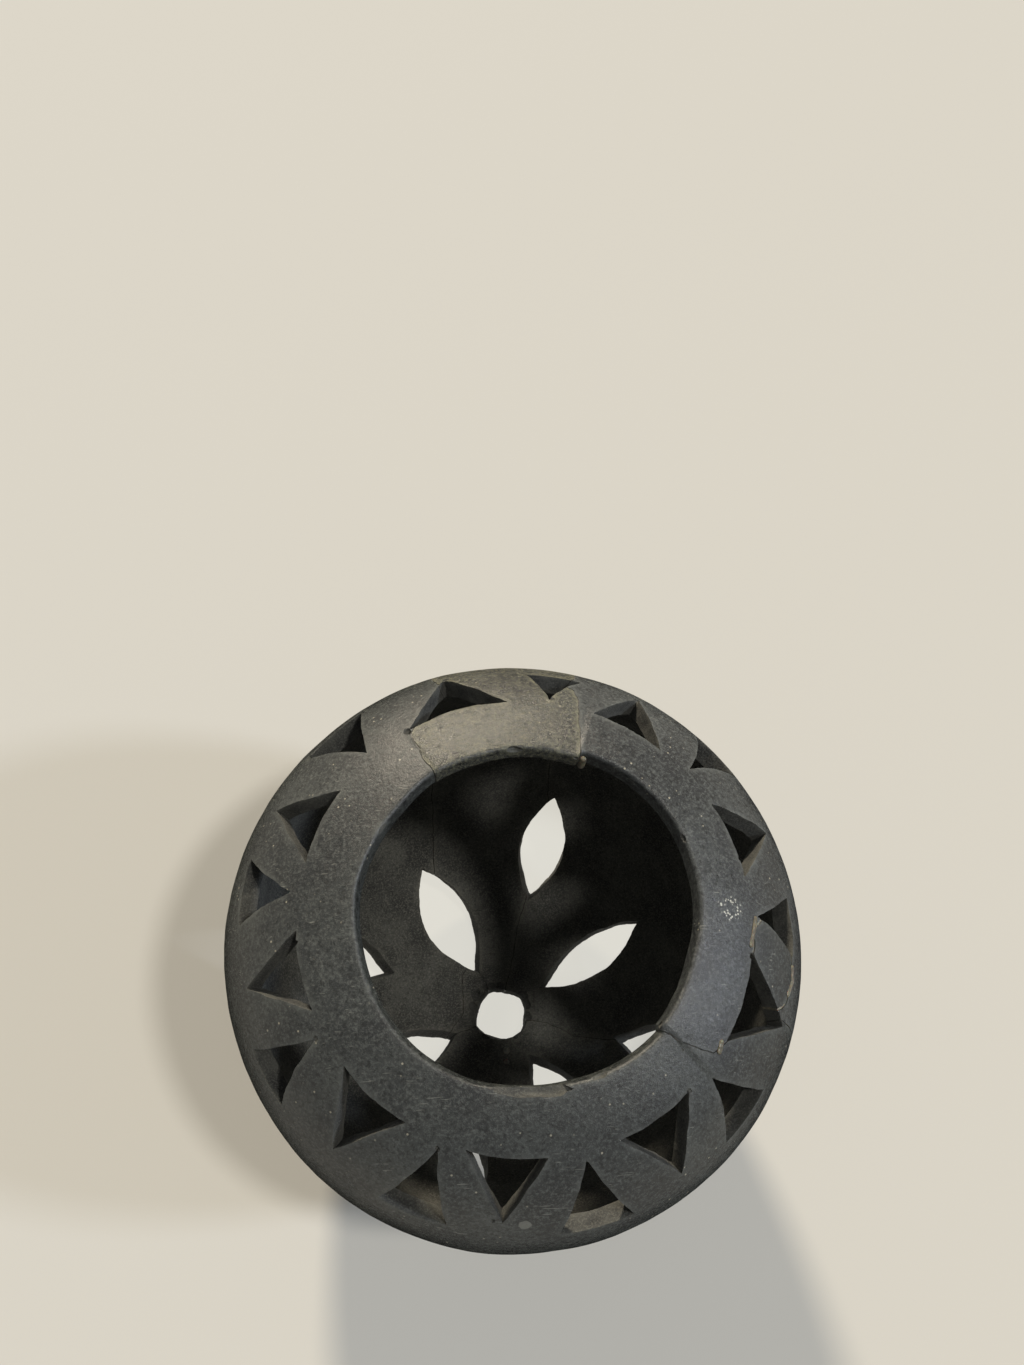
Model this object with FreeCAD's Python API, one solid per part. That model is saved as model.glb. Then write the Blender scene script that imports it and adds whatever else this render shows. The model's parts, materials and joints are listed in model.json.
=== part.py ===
import FreeCAD, Part
import math
import os
from FreeCAD import Vector

# Openwork black clay pot (barro negro calado), mended from its sherds.
#
# A hand-built globular pot of one fired wall, with a plain rim round a wide
# mouth, a shoulder pierced by two interlocking rings of triangles, a plain
# belly band, and leaf-shaped openings round a broken hole in the base.  It
# was broken and glued together again, so its separate pieces are the sherds,
# the film of adhesive in each break and the glue that was squeezed out.
#
# Millimetres and degrees.  The origin is on the mouth's axis, at the plane
# that the pot rests on, with +Z up.  A bearing is measured from +X,
# anticlockwise as seen from above.

# ---------------------------------------------------------------- body
BODY_RADIUS = 127.0        # at the belly, the widest level
SHOULDER_RISE = 85.0       # from the belly to where the shoulder would close
SHOULDER_POWER = 2.5       # over 2 is squarer than an ellipse
BELLY_DROP = 128.0         # from the belly to where the base would close
BELLY_POWER = 2.1
MOUTH_RADIUS = 68.5        # outer edge of the lip
WALL = 8.0
LIP_ROUNDING = WALL / 5
FOOT_RADIUS = 34.0         # flat that the pot rests on

# ------------------------------------------------- triangles of the shoulder
# Where each edge of the pattern runs, as a share of the way in plan from the
# lip to the belly.  Rim triangles have a base that follows the rim and a tip
# that points out.
RIM_TRIANGLE_BASE = 0.402
RIM_TRIANGLE_TIP = 0.795
RIM_TRIANGLES = [          # (bearing of the middle, half width, bearing of the tip)
    (107.0, 14.0, 106.0),
    (59.5, 10.5, 61.0),
    (19.5, 10.5, 19.5),
    (338.0, 12.0, 337.5),
    (300.5, 10.5, 301.0),
    (263.0, 10.0, 264.0),
    (228.0, 10.0, 228.0),
    (193.0, 10.0, 192.0),
    (155.5, 10.5, 154.0),
]
# Belly triangles stand between them, with the tip at the rim.
BELLY_TRIANGLE_TIP = 0.453
BELLY_TRIANGLES = [        # (bearing of the tip, of the middle, half width, share to the base)
    (82.0, 81.0, 6.5, 0.735),
    (40.5, 39.5, 6.5, 0.872),
    (359.0, 358.5, 6.5, 0.795),
    (317.5, 318.5, 6.5, 0.846),
    (281.5, 282.5, 7.5, 0.872),
    (247.0, 247.0, 7.0, 0.863),
    (209.0, 209.0, 6.0, 0.872),
    (173.5, 172.0, 7.0, 0.838),
    (133.0, 133.0, 8.0, 0.855),
]

# --------------------------------------------------- hole and leaves of the base
HOLE_X = 2.5               # the hole and its leaves sit beside the mouth's axis
HOLE_Y = -15.0
HOLE_CORNER_RADII = [12.5, 13.4, 12.2, 13.0, 12.0, 13.6, 12.4, 12.0, 13.2]
INNER_LEAF_START = 27.0    # straight distance from the hole's middle to the near tip
INNER_LEAF_END = 87.0
INNER_LEAVES = [(119.0, 26.0), (31.0, 20.0), (202.0, 22.0), (303.0, 22.0)]  # (bearing, width)
OUTER_LEAF_START = 63.0
OUTER_LEAF_END = 118.0
OUTER_LEAVES = [(75.0, 23.0), (160.0, 22.0), (253.0, 22.0), (345.0, 22.0)]

# ---------------------------------------------------------------- breaks
GLUE_FILM = 0.5            # thickness of the adhesive in a close break
STRUT_GLUE_FILM = 1.2      # thickness where the strut was glued back with a gap
FILM_RECESS = 0.4          # how far a film stops short of the wall's surfaces
BASE_SHERD_REACH = 20.5    # how far the small sherd reaches from the middle of the hole
CROSSING_REACH = 14.0      # a break crosses the belly straight for this far in and out

# ---------------------------------------------------------------- squeezed-out glue
BEAD_RADIUS = 1.1
LIP_DROP_RADIUS = WALL / 5
FLOOR_DROPS = [(276.0, 19.5, 2.4), (274.0, 25.5, 1.8)]  # (bearing, distance from the hole, radius)

CUT_OUTWARD = 22.0         # how far a cutting tool reaches out of the wall
CUT_INWARD = 34.0          # and in through it, enough to reach back to the lip


def superellipse(slant, depth=0.0):
    """Radius and height over the belly of the wall at a slant from -90 to 90.

    The point lies `depth` inside the outer surface, square to it.  The third
    and fourth values are the outward normal.
    """
    rise, power = (SHOULDER_RISE, SHOULDER_POWER) if slant >= 0 else (BELLY_DROP, BELLY_POWER)
    sign = 1.0 if slant >= 0 else -1.0
    angle = math.radians(abs(slant))
    radius = BODY_RADIUS * math.cos(angle) ** (2.0 / power)
    height = rise * math.sin(angle) ** (2.0 / power)
    out = radius ** (power - 1) / BODY_RADIUS ** power
    up = height ** (power - 1) / rise ** power
    length = math.hypot(out, up)
    out, up = out / length, sign * up / length
    return radius - depth * out, sign * height - depth * up, out, up


def slant_at(radius, above, depth=0.0):
    """Slant at which the surface `depth` inside the wall has this radius."""
    low, high = 0.0, 89.9
    for _ in range(50):
        middle = (low + high) / 2
        slant = middle if above else -middle
        if superellipse(slant, depth)[0] > radius:
            low = middle
        else:
            high = middle
    return low if above else -low


def way_out(share):
    """Plan radius that is this share of the way from the lip to the belly."""
    return MOUTH_RADIUS + share * (BODY_RADIUS - MOUTH_RADIUS)


BASE_LINE = way_out(RIM_TRIANGLE_BASE)     # plan radius of the rim triangles' bases
TIP_LINE = way_out(RIM_TRIANGLE_TIP)
UPPER_TIP_LINE = way_out(BELLY_TRIANGLE_TIP)
RIM_LINE = way_out(RIM_TRIANGLE_BASE / 2)  # middle of the plain rim
MOUTH_SLANT = slant_at(MOUTH_RADIUS, True)
FOOT_SLANT = slant_at(FOOT_RADIUS, False)
EQUATOR = -superellipse(FOOT_SLANT)[1]     # height of the belly over the resting plane
PROFILE_STEPS = 9                          # spans of each half of the profile


def polar(bearing, radius, height=0.0):
    """Point at a bearing, a radius and a height over the resting plane."""
    angle = math.radians(bearing)
    return Vector(radius * math.cos(angle), radius * math.sin(angle), height)


def wall_point(x, y, above, depth=0.0):
    """Point of the wall over or under the plan position, and its outward normal."""
    radius = math.hypot(x, y)
    _, height, out, up = superellipse(slant_at(radius, above, depth), depth)
    normal = Vector(out * x / radius, out * y / radius, up)
    return Vector(x, y, EQUATOR + height), normal


def shoulder_point(bearing, radius, depth=0.0):
    """Point of the shoulder at a bearing and a plan radius."""
    flat = polar(bearing, radius)
    return wall_point(flat.x, flat.y, True, depth)[0]


def wall_curve(depth):
    """Profile curve from the mouth to the foot, `depth` inside the wall."""
    slants = [MOUTH_SLANT * (1 - step / PROFILE_STEPS) for step in range(PROFILE_STEPS)]
    slants += [FOOT_SLANT * step / PROFILE_STEPS for step in range(PROFILE_STEPS + 1)]
    points = []
    for slant in slants:
        radius, height, _, _ = superellipse(slant, depth)
        points.append(Vector(radius, 0, EQUATOR + height))
    curve = Part.BSplineCurve()
    curve.interpolate(points)
    return curve, points[0], points[-1]


def turned_wall(outer_depth, inner_depth):
    """The pot's wall between two depths, turned about the mouth's axis."""
    outer, outer_lip, outer_foot = wall_curve(outer_depth)
    inner, inner_lip, inner_foot = wall_curve(inner_depth)
    under = Vector(0, 0, outer_depth)
    floor = Vector(0, 0, inner_depth)
    edges = [
        outer.toShape(),
        Part.makeLine(outer_foot, under),
        Part.makeLine(under, floor),
        Part.makeLine(floor, inner_foot),
        inner.toShape(),
        Part.makeLine(inner_lip, outer_lip),
    ]
    face = Part.Face(Part.Wire(Part.__sortEdges__(edges)))
    return face.revolve(Vector(0, 0, 0), Vector(0, 0, 1), 360)


def round_lip(wall):
    """Round both edges of the lip."""
    top = wall.BoundBox.ZMax - WALL * 1.5
    edges = [
        edge
        for edge in wall.Edges
        if isinstance(edge.Curve, Part.Circle)
        and edge.Curve.Center.z > top
        and edge.Curve.Radius < MOUTH_RADIUS + 1
    ]
    return wall.makeFillet(LIP_ROUNDING, edges)


def driven_through(face, normal):
    """Solid that a flat face sweeps when it is driven through the wall."""
    start = face.translated(normal * CUT_OUTWARD)
    return start.extrude(normal * -(CUT_OUTWARD + CUT_INWARD))


def punch(outline_edges, normal):
    """Solid that cuts the wall square to it, from a flat closed outline."""
    return driven_through(Part.Face(Part.Wire(Part.__sortEdges__(outline_edges))), normal)


def flattened(points, centre, normal):
    """The points dropped square onto the plane through the centre."""
    return [point - normal * (point - centre).dot(normal) for point in points]


def triangle(middle, half_width, base_radius, tip_bearing, tip_radius):
    """Tool for a triangle with a curved base, square to the wall at its heart."""
    corners = [
        shoulder_point(middle - half_width, base_radius),
        shoulder_point(middle, base_radius),
        shoulder_point(middle + half_width, base_radius),
        shoulder_point(tip_bearing, tip_radius),
    ]
    heart = polar(middle, (base_radius + tip_radius) / 2)
    centre, normal = wall_point(heart.x, heart.y, True)
    right, base, left, tip = flattened(corners, centre, normal)
    outline = [
        Part.Arc(right, base, left).toShape(),
        Part.makeLine(left, tip),
        Part.makeLine(tip, right),
    ]
    return punch(outline, normal)


def rim_triangle(middle, half_width, tip_bearing):
    """Tool for a triangle whose base runs along the rim."""
    return triangle(middle, half_width, BASE_LINE, tip_bearing, TIP_LINE)


def belly_triangle(tip_bearing, middle, half_width, base_share):
    """Tool for a triangle whose tip is at the rim and whose base is at the belly."""
    return triangle(middle, half_width, way_out(base_share), tip_bearing, UPPER_TIP_LINE)


def base_point(bearing, reach):
    """Inner surface point at a straight distance from the hole's middle, and its normal."""
    centre, _ = wall_point(HOLE_X, HOLE_Y, False, WALL)
    angle = math.radians(bearing)
    low, high = 0.0, reach
    for _ in range(50):
        middle = (low + high) / 2
        x = HOLE_X + middle * math.cos(angle)
        y = HOLE_Y + middle * math.sin(angle)
        point, normal = wall_point(x, y, False, WALL)
        if (point - centre).Length < reach:
            low = middle
        else:
            high = middle
    return point, normal


def leaf(bearing, width, start, end):
    """Tool for a pointed leaf between two distances from the hole's middle."""
    near, _ = base_point(bearing, start)
    far, _ = base_point(bearing, end)
    centre, normal = base_point(bearing, (start + end) / 2)
    near, far = flattened([near, far], centre, normal)
    across = normal.cross(far - near)
    across.normalize()
    middle = (near + far) / 2
    outline = [
        Part.Arc(near, middle + across * (width / 2), far).toShape(),
        Part.Arc(far, middle - across * (width / 2), near).toShape(),
    ]
    return punch(outline, normal)


def base_hole():
    """Tool for the broken hole in the base, a ring of short straight chips."""
    count = len(HOLE_CORNER_RADII)
    corners = []
    for index, radius in enumerate(HOLE_CORNER_RADII):
        corner = polar(index * 360.0 / count, radius, -WALL)
        corners.append(corner + Vector(HOLE_X, HOLE_Y, 0))
    outline = Part.makePolygon(corners + corners[:1])
    return Part.Face(outline).extrude(Vector(0, 0, 3 * WALL))


def opening_tools():
    """Every tool that pierces the wall, hole first."""
    tools = [base_hole()]
    tools += [rim_triangle(*row) for row in RIM_TRIANGLES]
    tools += [belly_triangle(*row) for row in BELLY_TRIANGLES]
    tools += [leaf(*row, INNER_LEAF_START, INNER_LEAF_END) for row in INNER_LEAVES]
    tools += [leaf(*row, OUTER_LEAF_START, OUTER_LEAF_END) for row in OUTER_LEAVES]
    return tools


def ribbon(points, thickness, normal):
    """Flat face of one thickness along a line, mitred at the line's corners."""
    lefts, rights = [], []
    last = len(points) - 1
    for index, point in enumerate(points):
        run_out = points[min(index + 1, last)] - points[min(index, last - 1)]
        run_in = points[max(index, 1)] - points[max(index - 1, 0)]
        side_in = normal.cross(run_in)
        side_out = normal.cross(run_out)
        side_in.normalize()
        side_out.normalize()
        side = side_in + side_out
        side.normalize()
        reach = thickness / 2 / side.dot(side_in)
        lefts.append(point + side * reach)
        rights.append(point - side * reach)
    loop = lefts + rights[::-1]
    return Part.Face(Part.makePolygon(loop + loop[:1]))


def shoulder_break(path, thickness):
    """Slab of a break through the shoulder, square to the wall at the path's end."""
    corners = [shoulder_point(bearing, radius) for bearing, radius in path]
    end = corners[-1]
    _, normal = wall_point(end.x, end.y, True)
    return driven_through(ribbon(flattened(corners, end, normal), thickness, normal), normal)


def upright_break(points, bottom, top):
    """Upright slab of a break, along plan points and between two heights."""
    face = ribbon(points, GLUE_FILM, Vector(0, 0, 1)).translated(Vector(0, 0, bottom))
    return face.extrude(Vector(0, 0, top - bottom))


def across_belly(bearing, upper_end, lower_end):
    """Slabs of a break that crosses the belly at one bearing, between two plan points."""
    inner = polar(bearing, BODY_RADIUS - CROSSING_REACH)
    outer = polar(bearing, BODY_RADIUS + CROSSING_REACH)
    return [
        upright_break([upper_end, inner, outer], EQUATOR, EQUATOR + SHOULDER_RISE),
        upright_break([outer, inner, lower_end], -WALL, EQUATOR),
    ]


def beside_hole(bearing, distance):
    """Plan point at a bearing and a distance from the hole's middle."""
    return Vector(HOLE_X, HOLE_Y, 0) + polar(bearing, distance)


def inside_leaf(bearing, reach):
    """Plan point inside a leaf, so that a break runs out into it."""
    point, _ = base_point(bearing, reach)
    return Vector(point.x, point.y, 0)


# Corners of the pattern that the breaks and the glue run to, as bearings.
LEFT_CORNER = RIM_TRIANGLES[0][0] + RIM_TRIANGLES[0][1]
LEFT_TIP = RIM_TRIANGLES[0][2]
BACK_CORNER = BELLY_TRIANGLES[0][1] - BELLY_TRIANGLES[0][2]
BACK_BASE = way_out(BELLY_TRIANGLES[0][3])
FRONT_CORNER = RIM_TRIANGLES[3][0] - RIM_TRIANGLES[3][1]
STRUT_CORNER = RIM_TRIANGLES[3][0] + RIM_TRIANGLES[3][1]
RIGHT_TIP = RIM_TRIANGLES[3][2]
STRUT_UPPER_TIP = BELLY_TRIANGLES[2][0]
STRUT_LOWER_CORNER = BELLY_TRIANGLES[2][1] - BELLY_TRIANGLES[2][2]
STRUT_BASE = way_out(BELLY_TRIANGLES[2][3])
LEFT_LEAF, FRONT_LEAF = INNER_LEAVES[0][0], INNER_LEAVES[2][0]
BACK_LEAF, RIGHT_LEAF = OUTER_LEAVES[0][0], OUTER_LEAVES[3][0]
BACK_STRETCH = 8                           # two slabs run together up to the corner
THROAT = MOUTH_RADIUS - WALL               # a break starts in the open mouth


def shoulder_breaks():
    """Slabs of the breaks from the mouth to the belly.

    Each runs from corner to corner of the pattern, a few degrees and
    millimetres to one side or the other, as a crack wanders.
    """
    rim_left = [
        (LEFT_CORNER + 2.5, THROAT),
        (LEFT_CORNER + 2, RIM_LINE - 4),
        (LEFT_CORNER, BASE_LINE - 1.5),
        (LEFT_CORNER - 2.5, BASE_LINE + 1.5),
    ]
    rim_back = [
        (BACK_CORNER - 7.5, THROAT),
        (BACK_CORNER - 3, RIM_LINE - 4),
        (BACK_CORNER - 0.5, UPPER_TIP_LINE),
        (BACK_CORNER + 1, BACK_BASE - BACK_STRETCH),
        (BACK_CORNER + 1, BACK_BASE - 1),
    ]
    rim_right = [
        (FRONT_CORNER - 11, THROAT),
        (FRONT_CORNER - 8.5, RIM_LINE - 4),
        (FRONT_CORNER - 4.5, BASE_LINE - 2),
        (FRONT_CORNER + 3, BASE_LINE + 1.5),
    ]
    strut_top = [
        (STRUT_UPPER_TIP, UPPER_TIP_LINE + 3),
        (STRUT_UPPER_TIP - 3, UPPER_TIP_LINE - 2),
        (STRUT_CORNER - 3, BASE_LINE + 1),
    ]
    strut_foot = [
        (STRUT_LOWER_CORNER + 2.5, STRUT_BASE - 4),
        (STRUT_LOWER_CORNER + 0.4, STRUT_BASE - 1.5),
        (STRUT_LOWER_CORNER - 5, STRUT_BASE),
        (RIGHT_TIP + 4.5, TIP_LINE - 1.5),
        (RIGHT_TIP + 1.5, TIP_LINE - 6),
    ]
    in_triangle, in_leaf = 11, 13
    slabs = [shoulder_break(path, GLUE_FILM) for path in (rim_left, rim_back, rim_right)]
    slabs += [shoulder_break(path, STRUT_GLUE_FILM) for path in (strut_top, strut_foot)]
    slabs += across_belly(
        LEFT_TIP + 2,
        polar(LEFT_TIP, TIP_LINE - in_triangle),
        inside_leaf(LEFT_LEAF, INNER_LEAF_END - in_leaf),
    )
    slabs += across_belly(
        BACK_CORNER + 1,
        polar(BACK_CORNER + 1, BACK_BASE - BACK_STRETCH + 0.5),
        inside_leaf(BACK_LEAF, OUTER_LEAF_END - in_leaf),
    )
    slabs += across_belly(
        RIGHT_TIP + 1,
        polar(RIGHT_TIP, TIP_LINE - in_triangle),
        inside_leaf(RIGHT_LEAF, OUTER_LEAF_END - in_leaf),
    )
    return slabs


def base_breaks():
    """Slabs of the breaks that run together round the hole in the base."""
    in_hole = min(HOLE_CORNER_RADII) - 3
    in_inner_leaf = INNER_LEAF_START + 5
    in_outer_leaf = OUTER_LEAF_START + 15
    paths = [
        [
            inside_leaf(BACK_LEAF, in_outer_leaf),
            beside_hole(BACK_LEAF + 3, OUTER_LEAF_START - 16),
            beside_hole(BACK_LEAF + 1, OUTER_LEAF_START / 2),
            beside_hole(BACK_LEAF + 9, in_hole),
        ],
        [
            inside_leaf(RIGHT_LEAF, in_outer_leaf),
            beside_hole(RIGHT_LEAF - 4, OUTER_LEAF_START - 23),
            beside_hole(RIGHT_LEAF + 3, INNER_LEAF_START - 2),
            beside_hole(RIGHT_LEAF, in_hole),
        ],
        [
            inside_leaf(LEFT_LEAF, in_inner_leaf),
            beside_hole(LEFT_LEAF + 17, INNER_LEAF_START + 2),
            beside_hole(LEFT_LEAF + 37, BASE_SHERD_REACH + 2),
            beside_hole(LEFT_LEAF + 59, BASE_SHERD_REACH),
            inside_leaf(FRONT_LEAF, in_inner_leaf),
        ],
        [inside_leaf(LEFT_LEAF, in_inner_leaf), beside_hole(LEFT_LEAF - 6, in_hole)],
        [inside_leaf(FRONT_LEAF, in_inner_leaf), beside_hole(FRONT_LEAF + 5, in_hole)],
    ]
    return [upright_break(path, -WALL, EQUATOR) for path in paths]


# A piece of the broken wall, or of the adhesive, is known by a place that it holds
# or lies next to: a plan point, and whether that is over or under the belly.
SHERD_MARKS = {
    "wall_sherd_left": (polar(200, RIM_LINE), True),
    "wall_sherd_right": (polar(15, RIM_LINE), True),
    "rim_sherd_back": (polar(98, RIM_LINE), True),
    "strut_sherd": (polar(349, (UPPER_TIP_LINE + TIP_LINE) / 2 - 3), True),
    "base_sherd": (beside_hole(158, BASE_SHERD_REACH - 3.5), False),
}
FILM_MARKS = {
    "glue_film_rim_left": (polar(LEFT_CORNER + 2, RIM_LINE), True),
    "glue_film_rim_back": (polar(BACK_CORNER - 2.5, RIM_LINE + 5), True),
    "glue_film_rim_right": (polar(FRONT_CORNER - 8, RIM_LINE), True),
    "glue_film_strut_top": (polar(STRUT_UPPER_TIP - 4, UPPER_TIP_LINE - 2), True),
    "glue_film_strut_foot": (polar(STRUT_LOWER_CORNER - 6, STRUT_BASE), True),
    "glue_film_belly_left": (polar(LEFT_TIP + 2, BODY_RADIUS - 4), False),
    "glue_film_belly_back": (polar(BACK_CORNER + 1, BODY_RADIUS - 4), False),
    "glue_film_belly_right": (polar(RIGHT_TIP + 1, BODY_RADIUS - 4), False),
    "glue_film_base_back": (beside_hole(BACK_LEAF + 2, OUTER_LEAF_START - 25), False),
    "glue_film_base_right": (beside_hole(RIGHT_LEAF, OUTER_LEAF_START - 27), False),
    "glue_film_base_sherd": (beside_hole(LEFT_LEAF + 38, BASE_SHERD_REACH + 2), False),
    "glue_film_base_left": (beside_hole(LEFT_LEAF - 4, INNER_LEAF_START - 8), False),
}


def sorted_by_mark(solids, marks):
    """Group solids under the name of the nearest mark."""
    probes = {
        name: Part.Vertex(wall_point(place.x, place.y, above, WALL / 2)[0])
        for name, (place, above) in marks.items()
    }
    groups = {name: [] for name in marks}
    for solid in solids:
        nearest = min(probes, key=lambda name: solid.distToShape(probes[name])[0])
        groups[nearest].append(solid)
    return groups


def lip_point(bearing, depth):
    """Point of the lip's face at a bearing, as deep in the wall as asked."""
    radius, height, _, _ = superellipse(MOUTH_SLANT, depth)
    return polar(bearing, radius, EQUATOR + height)


def bead(points, radius):
    """Round bead along a line of points."""
    parts = [Part.makeSphere(radius, point) for point in points]
    for start, end in zip(points, points[1:]):
        run = end - start
        parts.append(Part.makeCylinder(radius, run.Length, start, run))
    return parts[0].fuse(parts[1:]) if len(parts) > 1 else parts[0]


def squeezed_glue():
    """The glue that stands on the wall's surface, before the wall is cut from it."""
    drop_bearing = BACK_CORNER - 6.2
    return {
        "glue_bead_strut_top": bead(
            [
                shoulder_point(STRUT_UPPER_TIP - 0.8, UPPER_TIP_LINE - 1.2),
                shoulder_point(STRUT_UPPER_TIP - 3, UPPER_TIP_LINE - 2),
                shoulder_point(STRUT_CORNER + 1.2, BASE_LINE - 0.6),
            ],
            BEAD_RADIUS,
        ),
        "glue_bead_strut_foot": bead(
            [
                shoulder_point(STRUT_LOWER_CORNER - 2, STRUT_BASE - 0.6),
                shoulder_point(STRUT_LOWER_CORNER - 5, STRUT_BASE),
                shoulder_point(STRUT_LOWER_CORNER - 8, STRUT_BASE - 1.6),
            ],
            BEAD_RADIUS,
        ),
        "glue_bead_rim_corner": bead(
            [
                shoulder_point(FRONT_CORNER - 3.0, BASE_LINE - 0.6),
                shoulder_point(FRONT_CORNER - 0.8, BASE_LINE - 1.8),
            ],
            BEAD_RADIUS,
        ),
        "glue_drop_lip": bead(
            [lip_point(drop_bearing, WALL * 0.25), lip_point(drop_bearing, WALL * 0.8)],
            LIP_DROP_RADIUS,
        ),
    }


def floor_drops():
    """The drops of glue that fell on the inner floor in front of the hole."""
    drops = []
    for bearing, reach, radius in FLOOR_DROPS:
        point = beside_hole(bearing, reach)
        seat, normal = wall_point(point.x, point.y, False, WALL)
        drops.append(Part.makeSphere(radius, seat + normal * (radius / 2)))
    return drops


def outside_of(wall, blob):
    """The largest piece of a blob that is left outside the wall.

    A blob that lies along the wall may come back whole or empty, and is then
    cut by the stretch of wall around it alone.
    """
    rest = blob.cut(wall)
    if not 0 < rest.Volume < 0.9 * blob.Volume:
        box = blob.BoundBox
        box.enlarge(WALL / 2)
        corner = Vector(box.XMin, box.YMin, box.ZMin)
        around = Part.makeBox(box.XLength, box.YLength, box.ZLength, corner)
        rest = blob.cut(wall.common(around))
    return max(rest.Solids, key=lambda solid: solid.Volume)


def build():
    """All the pot's pieces, by name, each as a list of solids."""
    wall = round_lip(turned_wall(0.0, WALL))
    thin_wall = turned_wall(FILM_RECESS, WALL - FILM_RECESS)
    openings = opening_tools()
    slabs = shoulder_breaks() + base_breaks()
    broken = slabs[0].fuse(slabs[1:])

    sherds = wall.cut(openings).cut(broken).Solids
    films = thin_wall.cut(openings).common(broken).Solids
    pieces = sorted_by_mark(sherds, SHERD_MARKS)
    pieces.update(sorted_by_mark(films, FILM_MARKS))
    for name, blob in squeezed_glue().items():
        pieces[name] = [outside_of(wall, blob)]
    pieces["glue_spots_inside"] = [outside_of(wall, drop) for drop in floor_drops()]
    return pieces


def main():
    """Write one STEP file for each piece."""
    os.makedirs("parts", exist_ok=True)
    print("height to the lip:", round(EQUATOR + superellipse(MOUTH_SLANT)[1], 1))
    for name, solids in build().items():
        shape = solids[0] if len(solids) == 1 else Part.makeCompound(solids)
        box = shape.BoundBox
        volumes = [round(solid.Volume, 1) for solid in solids]
        print(f"{name:24s} {volumes} z {box.ZMin:.2f} to {box.ZMax:.2f} valid {shape.isValid()}")
        shape.exportStep(os.path.join("parts", name + ".step"))


main()
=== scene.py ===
"""Looks of an openwork black clay pot that was broken and glued together again.

The wall is one turned and hand-finished shell.  Triangles, leaves and a broken
hole are cut through it with slightly uneven tools, it is chipped along its
edges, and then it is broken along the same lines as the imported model, so that
each sherd, film of adhesive and blob of glue is a piece of its own.  Lengths
are in millimetres until a mesh is finished, and bearings are in degrees from
+X, anticlockwise from above.
"""

import json
import logging
import math
from dataclasses import dataclass, field
from enum import Enum
from typing import Any, Iterable, Sequence

import bmesh
import bpy
import numpy as np
from mathutils import Matrix, Vector, kdtree, noise

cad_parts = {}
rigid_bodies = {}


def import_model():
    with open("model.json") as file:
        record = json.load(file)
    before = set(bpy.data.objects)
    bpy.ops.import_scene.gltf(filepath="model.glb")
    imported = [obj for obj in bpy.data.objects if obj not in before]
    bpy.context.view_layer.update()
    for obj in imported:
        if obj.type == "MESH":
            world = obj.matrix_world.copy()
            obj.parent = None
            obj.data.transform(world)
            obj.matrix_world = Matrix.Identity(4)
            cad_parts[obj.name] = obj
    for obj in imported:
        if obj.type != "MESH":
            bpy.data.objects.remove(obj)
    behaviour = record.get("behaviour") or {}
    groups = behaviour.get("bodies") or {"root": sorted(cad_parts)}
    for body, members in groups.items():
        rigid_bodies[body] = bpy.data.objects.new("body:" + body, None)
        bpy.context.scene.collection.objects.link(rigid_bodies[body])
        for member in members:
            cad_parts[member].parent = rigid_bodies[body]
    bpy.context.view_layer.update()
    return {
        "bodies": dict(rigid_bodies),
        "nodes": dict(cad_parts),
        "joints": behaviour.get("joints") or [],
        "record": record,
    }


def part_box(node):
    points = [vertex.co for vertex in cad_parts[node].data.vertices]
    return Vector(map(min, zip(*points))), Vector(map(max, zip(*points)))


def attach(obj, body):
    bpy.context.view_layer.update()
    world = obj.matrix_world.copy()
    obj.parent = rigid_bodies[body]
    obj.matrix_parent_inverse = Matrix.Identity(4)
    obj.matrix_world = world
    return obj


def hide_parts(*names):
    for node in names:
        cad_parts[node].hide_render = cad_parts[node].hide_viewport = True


LOG = logging.getLogger("clay_pot")
MM = 0.001


class Surface(Enum):
    """Which skin of the wall a face belongs to; the value is its material index."""

    OUTSIDE = 0
    INSIDE = 1
    CUT = 2


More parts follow.
